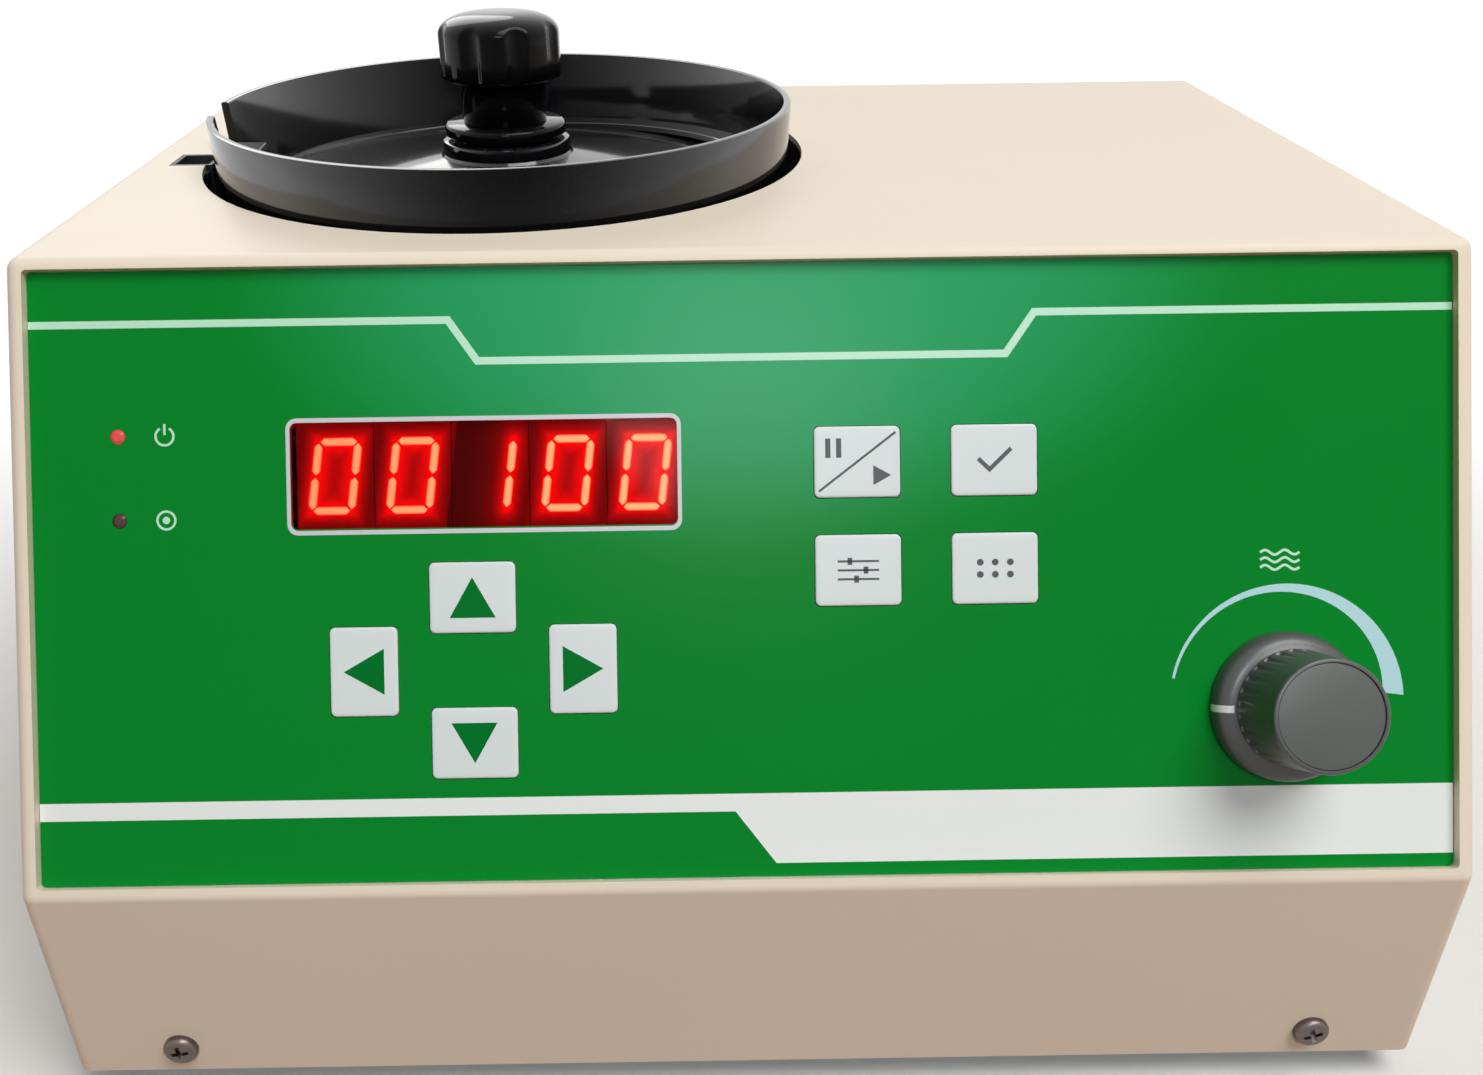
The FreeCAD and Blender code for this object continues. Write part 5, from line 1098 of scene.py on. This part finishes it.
# How far each edge of a key's crown lies inside its face and below its top
KEY_CROWN = ((0.0, 0.34 * MM), (0.04 * MM, 0.22 * MM), (0.12 * MM, 0.12 * MM), (0.28 * MM, 0.05 * MM),
             (0.6 * MM, 0.015 * MM), (1.4 * MM, 0.0))


class SEEDCOUNTER_OT_keys(Operator):
    """Make the softly crowned keys with their symbols"""
    bl_idname = "seed_counter.keys"
    bl_label = "Keys"

    def execute(self, context):
        for name, face, centre_v, shapes in self.arrow_keys():
            self.make_key(name, face, centre_v, shapes, "print_green")
        for name, centre_v, shapes in self.function_keys():
            self.make_key(name, WIDE_KEY, centre_v, shapes, "print_dark")
        return {"FINISHED"}

    def arrow_keys(self):
        """Name, face, height up the panel and symbol outlines of each direction key."""
        half = 4.9 * MM
        rise = 4.3 * MM
        up = [(-half, -rise), (half, -rise), (0.0, rise)]
        down = [(-half, rise), (0.0, -rise), (half, rise)]
        left = [(-rise, 0.0), (rise, -half), (rise, half)]
        right = [(-rise, -half), (rise, 0.0), (-rise, half)]
        return [("key_up", WIDE_KEY, 62.9 * MM, [up]), ("key_down", WIDE_KEY, 31.9 * MM, [down]),
                ("key_left", TALL_KEY, 47.4 * MM, [left]), ("key_right", TALL_KEY, 47.4 * MM, [right])]

    def function_keys(self):
        """Name, height up the panel and symbol outlines of each function key."""
        slash = stroke([(-8.2 * MM, -6.2 * MM), (8.2 * MM, 6.2 * MM)], 0.5 * MM)
        bars = [stroke([(x * MM, 0.9 * MM), (x * MM, 5.0 * MM)], 1.1 * MM) for x in (-6.2, -3.9)]
        play = [(3.4 * MM, -5.0 * MM), (7.2 * MM, -2.9 * MM), (3.4 * MM, -0.8 * MM)]
        tick = stroke([(-3.4 * MM, 0.3 * MM), (-1.0 * MM, -2.0 * MM), (3.6 * MM, 2.4 * MM)], 0.9 * MM)
        sliders = []
        for row, knob in ((1.9, -1.8), (0.0, 1.6), (-1.9, -0.4)):
            sliders.append(stroke([(-4.4 * MM, row * MM), (4.4 * MM, row * MM)], 0.45 * MM))
            sliders.append(stroke([(knob * MM, (row - 0.75) * MM), (knob * MM, (row + 0.75) * MM)], 1.0 * MM))
        dots = [arc_points((x * MM, y * MM), 0.72 * MM, 0, 342, 18)
                for x in (-3.2, 0.0, 3.2) for y in (-1.3, 1.3)]
        upper = 90.5 * MM
        lower = 67.5 * MM
        return [("key_pause", upper, [slash, play] + bars), ("key_confirm", upper, [tick]),
                ("key_set", lower, sliders), ("key_count", lower, dots)]

    def make_key(self, name, face, centre_v, shapes, material):
        """Stem, flange and crowned cap as one closed skin, and the print on it."""
        low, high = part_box(name)
        centre = ((low.x + high.x) / 2, centre_v)
        half_u = face[0] / 2
        half_v = face[1] / 2
        corner = 1.2 * MM
        flange = 1.0 * MM
        stem = 2.0 * MM
        crown = settings().panel.film + 0.35 * MM
        back = -4.75 * MM
        flange_back = back - 0.8 * MM
        stem_end = flange_back - 1.2 * MM
        rows = [(stem, stem, 0.2 * MM, stem_end), (stem, stem, 0.2 * MM, flange_back),
                (half_u + flange, half_v + flange, corner, flange_back),
                (half_u + flange, half_v + flange, corner, back), (half_u, half_v, corner, back)]
        for inset, drop in KEY_CROWN:
            rows.append((half_u - inset, half_v - inset, corner - inset / 2, crown - drop))
        rings = [on_panel(rounded_outline(centre, *sizes), w) for *sizes, w in rows]
        body = body_of_node(name)
        cap = skin_mesh(name + "_cap", rings, "key_white", angle=50)
        seat(cap, body, slot_of_node(name), name)
        bm = bmesh.new()
        for outline in shapes:
            placed = [(centre[0] + u, centre[1] + v) for u, v in outline]
            add_prism(bm, placed, crown - 0.01 * MM, crown + 0.03 * MM)
        seat(finish_mesh(name + "_symbol", bm, material), body, "overlay_film")


class SEEDCOUNTER_OT_display(Operator):
    """Print the pale border round the display window"""
    bl_idname = "seed_counter.display"
    bl_label = "Display border"

    def execute(self, context):
        window = (-55.0 * MM, 89.0 * MM)
        outer = rounded_outline(window, 41.9 * MM, 12.4 * MM, 2.3 * MM)
        inner = rounded_outline(window, 41.05 * MM, 11.45 * MM, 1.5 * MM)
        printed("display_border", [], "print_frame", [(outer, inner)])
        return {"FINISHED"}


# Steps round each flute of the speed knob and each lobe of the hand knob
STEPS_PER_FLUTE = 14
STEPS_PER_LOBE = 28


class SEEDCOUNTER_OT_speed_knob(Operator):
    """Make the fluted speed knob, its disc and its white pointer"""
    bl_idname = "seed_counter.speed_knob"
    bl_label = "Speed knob"

    def execute(self, context):
        sizes = settings().knobs
        panel = settings().panel
        stand = panel_matrix(KNOB_SEAT.x, panel.knob_v, panel.film + 0.3 * MM)
        disc = 10.7 * MM
        recess = sizes.height - 1.45 * MM
        points = self.profile(sizes, disc, recess)
        knob = turned_piece("speed_knob_skin", points, "knob_grey", sizes.flutes * STEPS_PER_FLUTE,
                            scoops=sizes.flutes, scoop_radius=sizes.flute,
                            scoop_reach=sizes.barrel + sizes.flute * 0.45, foot=6.0 * MM,
                            top=sizes.height - 1.9 * MM, softness=0.12 * MM, angle=40)
        seat(set_down(knob, stand), "speed_control", "knob_grey", "speed_knob")
        cap = turned_piece("speed_knob_disc", [
            (0.0, recess), (disc, recess), (disc, recess + 0.95 * MM), (disc - 0.08 * MM, recess + 1.12 * MM),
            (disc - 0.3 * MM, recess + 1.2 * MM), (0.0, recess + 1.2 * MM)], "knob_disc", 128, angle=30)
        seat(set_down(cap, stand), "speed_control", "knob_disc", "knob_cap")
        mark = self.pointer([(sizes.skirt, 0.4 * MM)] + points[3:11])
        seat(set_down(mark, stand), "speed_control", "key_film")
        return {"FINISHED"}

    def profile(self, sizes, disc, recess):
        """Skirt, barrel and top from the foot up, then the disc's recess, the bore and the cavity."""
        skirt = sizes.skirt
        barrel = sizes.barrel
        top = sizes.top
        height = sizes.height
        bore = 3.03 * MM
        bore_end = 17.0 * MM
        cavity = 8.2 * MM
        ceiling = 4.6 * MM
        flute_foot = 6.1 * MM
        flute_run = height - 2.1 * MM - flute_foot
        points = [(cavity, 0.0), (skirt - 0.25 * MM, 0.0), (skirt, 0.25 * MM), (skirt, 1.3 * MM)]
        for step in range(1, 8):
            angle = math.pi / 2 * (step / 7)
            points.append((skirt - (skirt - barrel - 0.3 * MM) * (1 - math.cos(angle)) * 0.98,
                           1.5 * MM + 3.6 * MM * math.sin(angle)))
        points += [(barrel, 5.35 * MM), (barrel - 0.02 * MM, 5.9 * MM), (barrel - 0.03 * MM, flute_foot)]
        for step in range(1, 6):
            share = step / 5
            points.append((barrel + (top - barrel) * share, flute_foot + flute_run * share))
        return points + [
            (top, height - 1.6 * MM), (top - 0.05 * MM, height - 0.5 * MM),
            (top - 0.18 * MM, height - 0.15 * MM), (top - 0.4 * MM, height), (disc + 0.15 * MM, height),
            (disc + 0.06 * MM, height - 0.1 * MM), (disc + 0.05 * MM, recess), (0.0, recess),
            (0.0, bore_end), (bore, bore_end), (bore, ceiling), (cavity, ceiling), (cavity, 0.0)]

    def pointer(self, run):
        """White line that lies on the skirt, along (radius, height) points from its edge to the barrel."""
        half = 0.75 * MM
        over = 0.07 * MM
        under = -0.25 * MM
        rows = []
        for radius, height in run:
            rows.append([(-(radius + out), side, height + out * 0.6)
                         for out, side in ((over, -half), (over, half), (under, half), (under, -half))])
        return skin_mesh("speed_pointer", rows, "print_white", angle=60)


class SEEDCOUNTER_OT_hand_knob(Operator):
    """Make the lobed hand knob and the stepped washer under it"""
    bl_idname = "seed_counter.hand_knob"
    bl_label = "Hand knob"

    def execute(self, context):
        sizes = settings().knobs
        stand = Matrix.Translation(BOWL_SEAT)
        collar = 19.0 * MM
        knob = turned_piece("hand_knob_skin", self.knob_profile(sizes, collar), "hand_knob_black",
                            sizes.hand_lobes * STEPS_PER_LOBE, scoops=sizes.hand_lobes,
                            scoop_radius=sizes.hand_scoop,
                            scoop_reach=sizes.hand_radius + sizes.hand_scoop - sizes.hand_depth,
                            foot=collar - 1 * MM, softness=0.9 * MM, angle=50)
        seat(set_down(knob, stand), body_of_node("hand_knob"), "hand_knob_black", "hand_knob")
        hole = 6.56 * MM
        boss = 14.0 * MM
        rim = 16.0 * MM
        foot = 4.0 * MM
        ledge = 5.0 * MM
        top = 8.0 * MM
        washer = turned_piece("clamp_washer_skin", [
            (hole, foot), (boss - 0.2 * MM, foot), (boss, foot + 0.2 * MM), (boss, ledge),
            (rim - 0.3 * MM, ledge), (rim, ledge + 0.3 * MM), (rim, top - 1.0 * MM),
            (rim - 0.25 * MM, top - 0.4 * MM), (rim - 0.8 * MM, top), (hole, top), (hole, foot)],
            "hand_knob_black", 160, angle=40)
        seat(set_down(washer, stand), body_of_node("clamp_washer"), "washer_black", "clamp_washer")
        return {"FINISHED"}

    def knob_profile(self, sizes, collar):
        """Neck, head and dome from the foot up, then the stud's bore with the insert's seat."""
        radius = sizes.hand_radius
        neck = sizes.hand_neck
        seat_bore = 6.55 * MM
        seat_top = 21.0 * MM
        bore = 4.3 * MM
        bore_top = 24.5 * MM
        foot = 8.0 * MM
        shoulder = 29.8 * MM
        top = 35.0 * MM
        points = [(seat_bore, foot), (neck - 0.3 * MM, foot), (neck, foot + 0.3 * MM),
                  (neck, collar - 0.8 * MM), (neck + 0.25 * MM, collar - 0.2 * MM),
                  (neck + 0.9 * MM, collar), (radius - 0.8 * MM, collar),
                  (radius - 0.25 * MM, collar + 0.2 * MM), (radius, collar + 0.8 * MM)]
        points += [(radius, collar + (shoulder - collar) * share) for share in (0.2, 0.5, 0.8, 1.0)]
        for step in range(1, 13):
            angle = math.pi / 2 * step / 12
            points.append((radius * math.cos(angle) ** 0.62 if step < 12 else 0.0,
                           shoulder + (top - shoulder) * math.sin(angle)))
        return points + [(0.0, bore_top), (bore, bore_top), (bore, seat_top), (seat_bore, seat_top),
                         (seat_bore, foot)]


# The shelf's way round the bowl, and how far before its upper end the gate is, in degrees
SHELF_SWEEP = 330.0
GATE_BACK = 35.0


class SEEDCOUNTER_OT_bowl(Operator):
    """Make the turned bowl with its climbing shelf, gate and discharge notch"""
    bl_idname = "seed_counter.bowl"
    bl_label = "Bowl"

    def execute(self, context):
        sizes = settings().bowl
        bowl = turned_piece("bowl_skin", self.profile(sizes), "bowl_black", sizes.segments, angle=30)
        join_and_cut(bowl, [self.shelf(sizes)], [self.gate(sizes), self.notch(sizes)])
        clean_normals(bowl, 30)
        set_down(bowl, Matrix.Translation(BOWL_SEAT))
        seat(bowl, body_of_node("bowl"), "bowl_black", "bowl")
        return {"FINISHED"}

    def inner_radius(self, sizes, height):
        """Radius of the wall's inner face at a height."""
        return sizes.radius - sizes.wall - sizes.draft * (sizes.rim - height) / (sizes.rim - sizes.foot)

    def profile(self, sizes):
        """Boss, floor and wall inside, over the rim and down outside, then back under the floor."""
        hole = 4.3 * MM
        boss = sizes.boss
        boss_top = sizes.boss_top
        boss_foot = sizes.boss_foot
        boss_wall = 3.0 * MM
        floor_edge = sizes.floor_edge
        edge = self.inner_radius(sizes, floor_edge)
        slope = floor_edge / (edge - boss)
        points = [(hole, boss_top), (boss - 1.0 * MM, boss_top), (boss - 0.3 * MM, boss_top - 0.3 * MM),
                  (boss, boss_top - 1.0 * MM), (boss, 0.6 * MM), (boss + 0.6 * MM, -0.05 * MM)]
        for step in range(1, 9):
            reach = boss + 0.6 * MM + (edge - 2.0 * MM - boss) * step / 9
            points.append((reach, slope * (reach - boss)))
        radius = sizes.radius
        rim = sizes.rim
        rim_inner = radius - sizes.wall
        points += [(edge - 1.2 * MM, floor_edge + 0.25 * MM), (edge - 0.3 * MM, floor_edge + 0.9 * MM),
                   (edge + 0.06 * MM, floor_edge + 2.0 * MM),
                   (rim_inner, rim - 0.5 * MM), (rim_inner + 0.15 * MM, rim - 0.12 * MM),
                   (rim_inner + 0.5 * MM, rim), (radius - 0.5 * MM, rim),
                   (radius - 0.15 * MM, rim - 0.12 * MM), (radius, rim - 0.5 * MM)]
        foot_outer = radius - sizes.draft
        foot_inner = foot_outer - sizes.wall
        under = boss + boss_wall
        ceiling = -sizes.floor - boss_wall
        return points + [
            (foot_outer, sizes.foot), (foot_inner, sizes.foot), (foot_inner, floor_edge - sizes.floor),
            (under, slope * boss_wall - sizes.floor), (under, boss_foot), (boss - boss_wall, boss_foot),
            (boss - boss_wall, ceiling), (hole + boss_wall, ceiling), (hole + boss_wall, boss_foot),
            (hole, boss_foot), (hole, boss_top)]

    def shelf(self, sizes):
        """Shelf that climbs clockwise from the floor to the notch."""
        outer = self.inner_radius(sizes, sizes.notch_foot) + 0.8 * MM
        inner = self.inner_radius(sizes, sizes.floor_edge) - sizes.shelf
        bevel = 0.25 * MM
        under = -sizes.shelf_thickness
        section = [(inner + bevel, under), (outer, under), (outer, 0.0), (inner + bevel, 0.0),
                   (inner, -bevel), (inner, under + bevel)]
        end = math.pi - math.asin(sizes.notch_rear / sizes.radius)
        steps = 200
        rows = []
        for step in range(steps + 1):
            share = step / steps
            angle = end + math.radians(SHELF_SWEEP) * (1 - share)
            base = sizes.floor_edge + (sizes.notch_foot - sizes.floor_edge) * share
            x = math.cos(angle)
            y = math.sin(angle)
            rows.append([(reach * x, reach * y, base + z) for reach, z in section])
        return skin_mesh("shelf_tool", rows, "bowl_black")

    def gate(self, sizes):
        """Round cutter that leaves a narrow lane of the shelf, so that seeds pass one by one."""
        radius = 10.0 * MM
        lane = 4.0 * MM
        depth = 7.4 * MM
        angle = math.radians(180 + GATE_BACK)
        height = sizes.notch_foot - (sizes.notch_foot - sizes.floor_edge) * GATE_BACK / SHELF_SWEEP
        reach = self.inner_radius(sizes, height) - lane - radius
        middle = Matrix.Translation((reach * math.cos(angle), reach * math.sin(angle), height - 0.2 * MM))
        bm = bmesh.new()
        bmesh.ops.create_cone(bm, cap_ends=True, segments=72, radius1=radius, radius2=radius, depth=depth,
                              matrix=middle)
        return finish_mesh("gate_tool", bm, "bowl_black")

    def notch(self, sizes):
        """Cutter for the discharge notch, its front edge swept up in a curve."""
        top = sizes.rim + 1.0 * MM
        outline = [(sizes.notch_rear, top), (sizes.notch_rear, sizes.notch_foot)]
        for step in range(17):
            share = step / 16
            bend = math.pi / 2 * share
            outline.append((sizes.notch_front + sizes.notch_curve * (1 - math.sin(bend) ** 1.15),
                            sizes.notch_foot + (top - sizes.notch_foot) * (1 - math.cos(bend))))
        spare = 4 * MM
        rows = [[(x, y, z) for y, z in outline]
                for x in (-sizes.radius - spare, -sizes.radius + sizes.shelf + spare)]
        return skin_mesh("notch_tool", rows, "bowl_black")


class SEEDCOUNTER_OT_leaf_springs(Operator):
    """Slice the leaf springs at even heights between the lower and upper clamps"""
    bl_idname = "seed_counter.leaf_springs"
    bl_label = "Leaf springs"

    def execute(self, context):
        steps = 12
        _, lower_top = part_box("lower_clamps")
        upper_foot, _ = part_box("upper_clamps")
        bm = bmesh.new()
        bm.from_mesh(frame["nodes"]["leaf_springs"].data)
        bmesh.ops.remove_doubles(bm, verts=bm.verts, dist=1e-6)
        for step in range(steps + 1):
            height = lower_top[2] + (upper_foot[2] - lower_top[2]) * step / steps
            everything = list(bm.verts) + list(bm.edges) + list(bm.faces)
            bmesh.ops.bisect_plane(bm, geom=everything, plane_co=(0, 0, height), plane_no=(0, 0, 1))
        springs = finish_mesh("bending_leaf_springs", bm, "fibre_leaf", angle=35)
        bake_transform(springs)
        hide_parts("leaf_springs")
        return {"FINISHED"}


# Height of a case screw's head above its seat
HEAD_HEIGHT = 2.3 * MM


class SEEDCOUNTER_OT_case_screws(Operator):
    """Put a cross-recess screw at every seat of the case"""
    bl_idname = "seed_counter.case_screws"
    bl_label = "Case screws"

    def execute(self, context):
        screw = self.screw()
        places = bpy.data.meshes.new("screw_seats")
        seats = self.seats()
        places.from_pydata([spot for spot, _ in seats], [], [])
        way = places.attributes.new("way", "FLOAT_VECTOR", "POINT")
        for index, (_, direction) in enumerate(seats):
            way.data[index].vector = direction
        screws = grow("case_screw_set", places, "Screws at points", screw=screw, seed=5,
                      material=MATERIALS["screw_nickel"])
        bpy.data.objects.remove(screw)
        screws.data.shade_smooth()
        screws.data.set_sharp_from_angle(angle=math.radians(40))
        seat(screws, "case", "screw_steel", "case_screws")
        return {"FINISHED"}

    def screw(self):
        """Pan head with a tapered cross recess, and a plain shank, pointing up from its seat."""
        head = 3.9 * MM
        edge = 0.9 * MM
        shank = 1.95 * MM
        tip = -6.0 * MM
        points = [(0.0, tip), (shank - 0.25 * MM, tip), (shank, tip + 0.4 * MM), (shank, 0.0),
                  (head - 0.1 * MM, 0.0), (head, 0.12 * MM), (head, edge)]
        for step in range(1, 7):
            angle = math.pi / 2 * step / 6
            points.append((head - 1.1 * MM * (1 - math.cos(angle)), edge + 1.2 * MM * math.sin(angle)))
        points += [(head * 0.4, HEAD_HEIGHT - 0.03 * MM), (0.0, HEAD_HEIGHT)]
        screw = turned_piece("screw_tool", points, "screw_nickel", 40, angle=40)
        half = 0.5 * MM
        rows = []
        for reach, z in ((2.5 * MM, HEAD_HEIGHT + 0.5 * MM), (1.2 * MM, HEAD_HEIGHT - 1.5 * MM)):
            rows.append([(-reach, -half, z), (reach, -half, z), (reach, half, z), (-reach, half, z)])
        slots = [skin_mesh("recess_tool", rows, "screw_nickel") for _ in range(2)]
        set_down(slots[1], Matrix.Rotation(math.pi / 2, 4, "Z"))
        join_and_cut(screw, removed=slots)
        return clean_normals(screw, 40)

    def seats(self):
        """Seat and outward direction of each screw, from the frame's own screws."""
        bm = bmesh.new()
        bm.from_mesh(frame["nodes"]["case_screws"].data)
        bmesh.ops.remove_doubles(bm, verts=bm.verts, dist=1e-6)
        left = set(bm.verts)
        seats = []
        while left:
            start = left.pop()
            island = [start]
            queue = [start]
            while queue:
                for edge in queue.pop().link_edges:
                    for vertex in edge.verts:
                        if vertex in left:
                            left.discard(vertex)
                            island.append(vertex)
                            queue.append(vertex)
            seats.append(self.seat_of([vertex.co.copy() for vertex in island]))
        bm.free()
        seats.sort(key=lambda entry: tuple(round(value, 5) for value in entry[0]))
        return seats

    def seat_of(self, points):
        """Seat of one screw: its long side gives the axis and its wide end the head."""
        low = Vector([min(point[axis] for point in points) for axis in range(3)])
        high = Vector([max(point[axis] for point in points) for axis in range(3)])
        size = high - low
        axis = max(range(3), key=lambda index: size[index])
        middle = (low + high) / 2

        def from_axis(point):
            across = point - middle
            across[axis] = 0.0
            return across.length

        wide = max(points, key=from_axis)
        sign = 1 if wide[axis] > middle[axis] else -1
        direction = Vector((0.0, 0.0, 0.0))
        direction[axis] = sign
        spot = middle.copy()
        spot[axis] = (high if sign > 0 else low)[axis] - sign * HEAD_HEIGHT
        return spot, direction


FLOOR_HALF = 6.0
WARM = (1.0, 0.985, 0.96)


class SEEDCOUNTER_OT_stage(Operator):
    """Set the floor, the light and the camera at the photograph's angle"""
    bl_idname = "seed_counter.stage"
    bl_label = "Stage"

    def execute(self, context):
        self.floor()
        self.world()
        self.lights()
        self.camera()
        bpy.context.scene.view_settings.view_transform = "Standard"
        return {"FINISHED"}

    def floor(self):
        """Wide floor half a millimetre under the feet."""
        corners = [(x * FLOOR_HALF, y * FLOOR_HALF, -0.5 * MM)
                   for x, y in ((-1, -1), (1, -1), (1, 1), (-1, 1))]
        mesh = bpy.data.meshes.new("floor")
        mesh.from_pydata(corners, [], [(0, 1, 2, 3)])
        mesh.materials.append(self.floor_finish())
        floor = bpy.data.objects.new("floor", mesh)
        bpy.context.scene.collection.objects.link(floor)

    def floor_finish(self):
        """Pale floor that fades to white far off; what it throws back on the object is darker and warm."""
        tones = settings().colours
        sizes = settings().stage
        material = bpy.data.materials.new("pale_floor")
        material.use_nodes = True
        build = NodeBuilder(material.node_tree)
        shader = material.node_tree.nodes["Principled BSDF"]
        shader.inputs["Roughness"].default_value = 0.8
        shader.inputs["Emission Strength"].default_value = 1.0
        spot = build.object_spot()
        darker = tuple(value * 0.98 for value in tones.floor)
        pale = build.blend(build.noise(spot, 3.0, 2.0), (*darker, 1.0), (*tones.floor, 1.0))
        seen = seen_ray(build)
        far = build.ramp(build.vector("LENGTH", spot), sizes.white_from, sizes.white_by)
        white = build.math("MULTIPLY", seen, far)
        shown = build.blend(seen, (*tones.bounce, 1.0), pale)
        build.put(shader.inputs["Base Color"], build.blend(white, shown, BLACK))
        build.put(shader.inputs["Emission Color"], build.blend(white, BLACK, WHITE))
        return material

    def world(self):
        """Even light on the object, and pure white where the camera looks past it."""
        world = bpy.data.worlds.new("even_light")
        world.use_nodes = True
        world.node_tree.nodes.clear()
        bpy.context.scene.world = world
        build = NodeBuilder(world.node_tree)
        leave = build.add("ShaderNodeOutputWorld")
        light = build.add("ShaderNodeBackground", {
            "Color": (*WARM, 1.0), "Strength": settings().stage.world_strength})
        seen = build.add("ShaderNodeBackground", {"Color": WHITE, "Strength": 1.0})
        mix = build.add("ShaderNodeMixShader", {0: seen_ray(build), 1: light.outputs[0], 2: seen.outputs[0]})
        build.put(leave.inputs["Surface"], mix.outputs[0])

    def lights(self):
        """Three round lamps that aim at the object: name, place, size across, power and colour."""
        sizes = settings().stage
        for name, spot, size, power, tone in (
                ("key_light", (0.74, -0.76, 2.15), 1.6, sizes.key_strength, WARM),
                ("front_light", (0.077, -1.34, 1.13), 0.4, sizes.front_strength, (0.84, 0.96, 1.0)),
                ("rear_light", (-0.80, 1.90, 1.40), 1.4, sizes.rear_strength, WARM)):
            lamp = bpy.data.lights.new(name, "AREA")
            lamp.shape = "DISK"
            lamp.size = size
            lamp.energy = power
            lamp.color = tone
            thing = bpy.data.objects.new(name, lamp)
            bpy.context.scene.collection.objects.link(thing)
            thing.location = spot
            aim = Vector((0.0, 0.0, 0.1)) - Vector(spot)
            thing.rotation_euler = aim.to_track_quat("-Z", "Y").to_euler()

    def camera(self):
        """Camera fitted to the photograph's corners: place, turn, focal length and shift."""
        image_width = 1483.0
        image_height = 1075.0
        focal_pixels = 1346.93
        centre_x = 683.80
        centre_y = 598.10
        sensor = 36.0
        from_deck_edge = Vector((-13.93177, -280.06141, 82.74570)) * MM
        spot = Vector((0.0, deck_front(), BOWL_SEAT.z)) + from_deck_edge
        camera = bpy.data.cameras.new("camera")
        camera.sensor_width = sensor
        camera.lens = focal_pixels / image_width * sensor
        camera.shift_x = (image_width / 2 - centre_x) / image_width
        camera.shift_y = (centre_y - image_height / 2) / image_width
        camera.clip_start = 0.01
        thing = bpy.data.objects.new("camera", camera)
        bpy.context.scene.collection.objects.link(thing)
        rows = camera_rows()
        turn = Matrix((rows[0], -rows[1], -rows[2])).transposed().to_4x4()
        thing.matrix_world = Matrix.Translation(spot) @ turn
        bpy.context.scene.camera = thing


def seen_ray(build):
    """One for rays from the camera, from glossy surfaces and through clear ones, nought for the rest."""
    path = build.add("ShaderNodeLightPath")
    either = build.math("MAXIMUM", path.outputs["Is Camera Ray"], path.outputs["Is Glossy Ray"])
    return build.math("MAXIMUM", either, path.outputs["Is Transmission Ray"])


def deck_front():
    """Front edge of the deck, where the panel's plane meets the deck's level."""
    foot = panel_point(0, 0, 0)
    return foot.y + (BOWL_SEAT.z - foot.z) / UPWARD.z * UPWARD.y


def camera_rows():
    """Right, down and forward directions of the photograph's camera."""
    pitch, roll, yaw = (math.radians(value) for value in (30.95371634, -0.18738075, -0.85170592))
    turn = Matrix.Rotation(yaw, 3, "Z") @ Matrix.Rotation(roll, 3, "Y") @ Matrix.Rotation(pitch, 3, "X")
    axes = Matrix(((1, 0, 0), (0, 0, -1), (0, 1, 0)))
    return turn @ axes


class SEEDCOUNTER_PT_panel(Panel):
    """Lists the pieces of the seed counter"""
    bl_label = "Seed Counter"
    bl_idname = "SEEDCOUNTER_PT_panel"
    bl_space_type = "VIEW_3D"
    bl_region_type = "UI"
    bl_category = "Seed Counter"

    def draw(self, context):
        column = self.layout.column()
        for operator in OPERATORS:
            column.operator(operator.bl_idname)
        for group in ("panel", "bowl", "knobs", "colours", "stage"):
            sizes = getattr(context.scene.seed_counter, group)
            box = self.layout.box()
            box.label(text=group.capitalize())
            for title in sizes.bl_rna.properties.keys():
                if title not in ("rna_type", "name"):
                    box.prop(sizes, title)


OPERATORS = (
    SEEDCOUNTER_OT_finishes,
    SEEDCOUNTER_OT_panel_print,
    SEEDCOUNTER_OT_keys,
    SEEDCOUNTER_OT_display,
    SEEDCOUNTER_OT_speed_knob,
    SEEDCOUNTER_OT_hand_knob,
    SEEDCOUNTER_OT_bowl,
    SEEDCOUNTER_OT_leaf_springs,
    SEEDCOUNTER_OT_case_screws,
    SEEDCOUNTER_OT_stage,
)
CLASSES = (
    SeedCounterPanelSizes,
    SeedCounterBowlSizes,
    SeedCounterKnobSizes,
    SeedCounterColours,
    SeedCounterStageSizes,
    SeedCounterSettings,
    *OPERATORS,
    SEEDCOUNTER_PT_panel,
)


def register():
    for item in CLASSES:
        bpy.utils.register_class(item)
    bpy.types.Scene.seed_counter = PointerProperty(type=SeedCounterSettings)


def unregister():
    del bpy.types.Scene.seed_counter
    for item in reversed(CLASSES):
        bpy.utils.unregister_class(item)


def main():
    """Build every piece."""
    register()
    for operator in OPERATORS:
        group, name = operator.bl_idname.split(".")
        getattr(getattr(bpy.ops, group), name)()


if __name__ == "__main__":
    main()
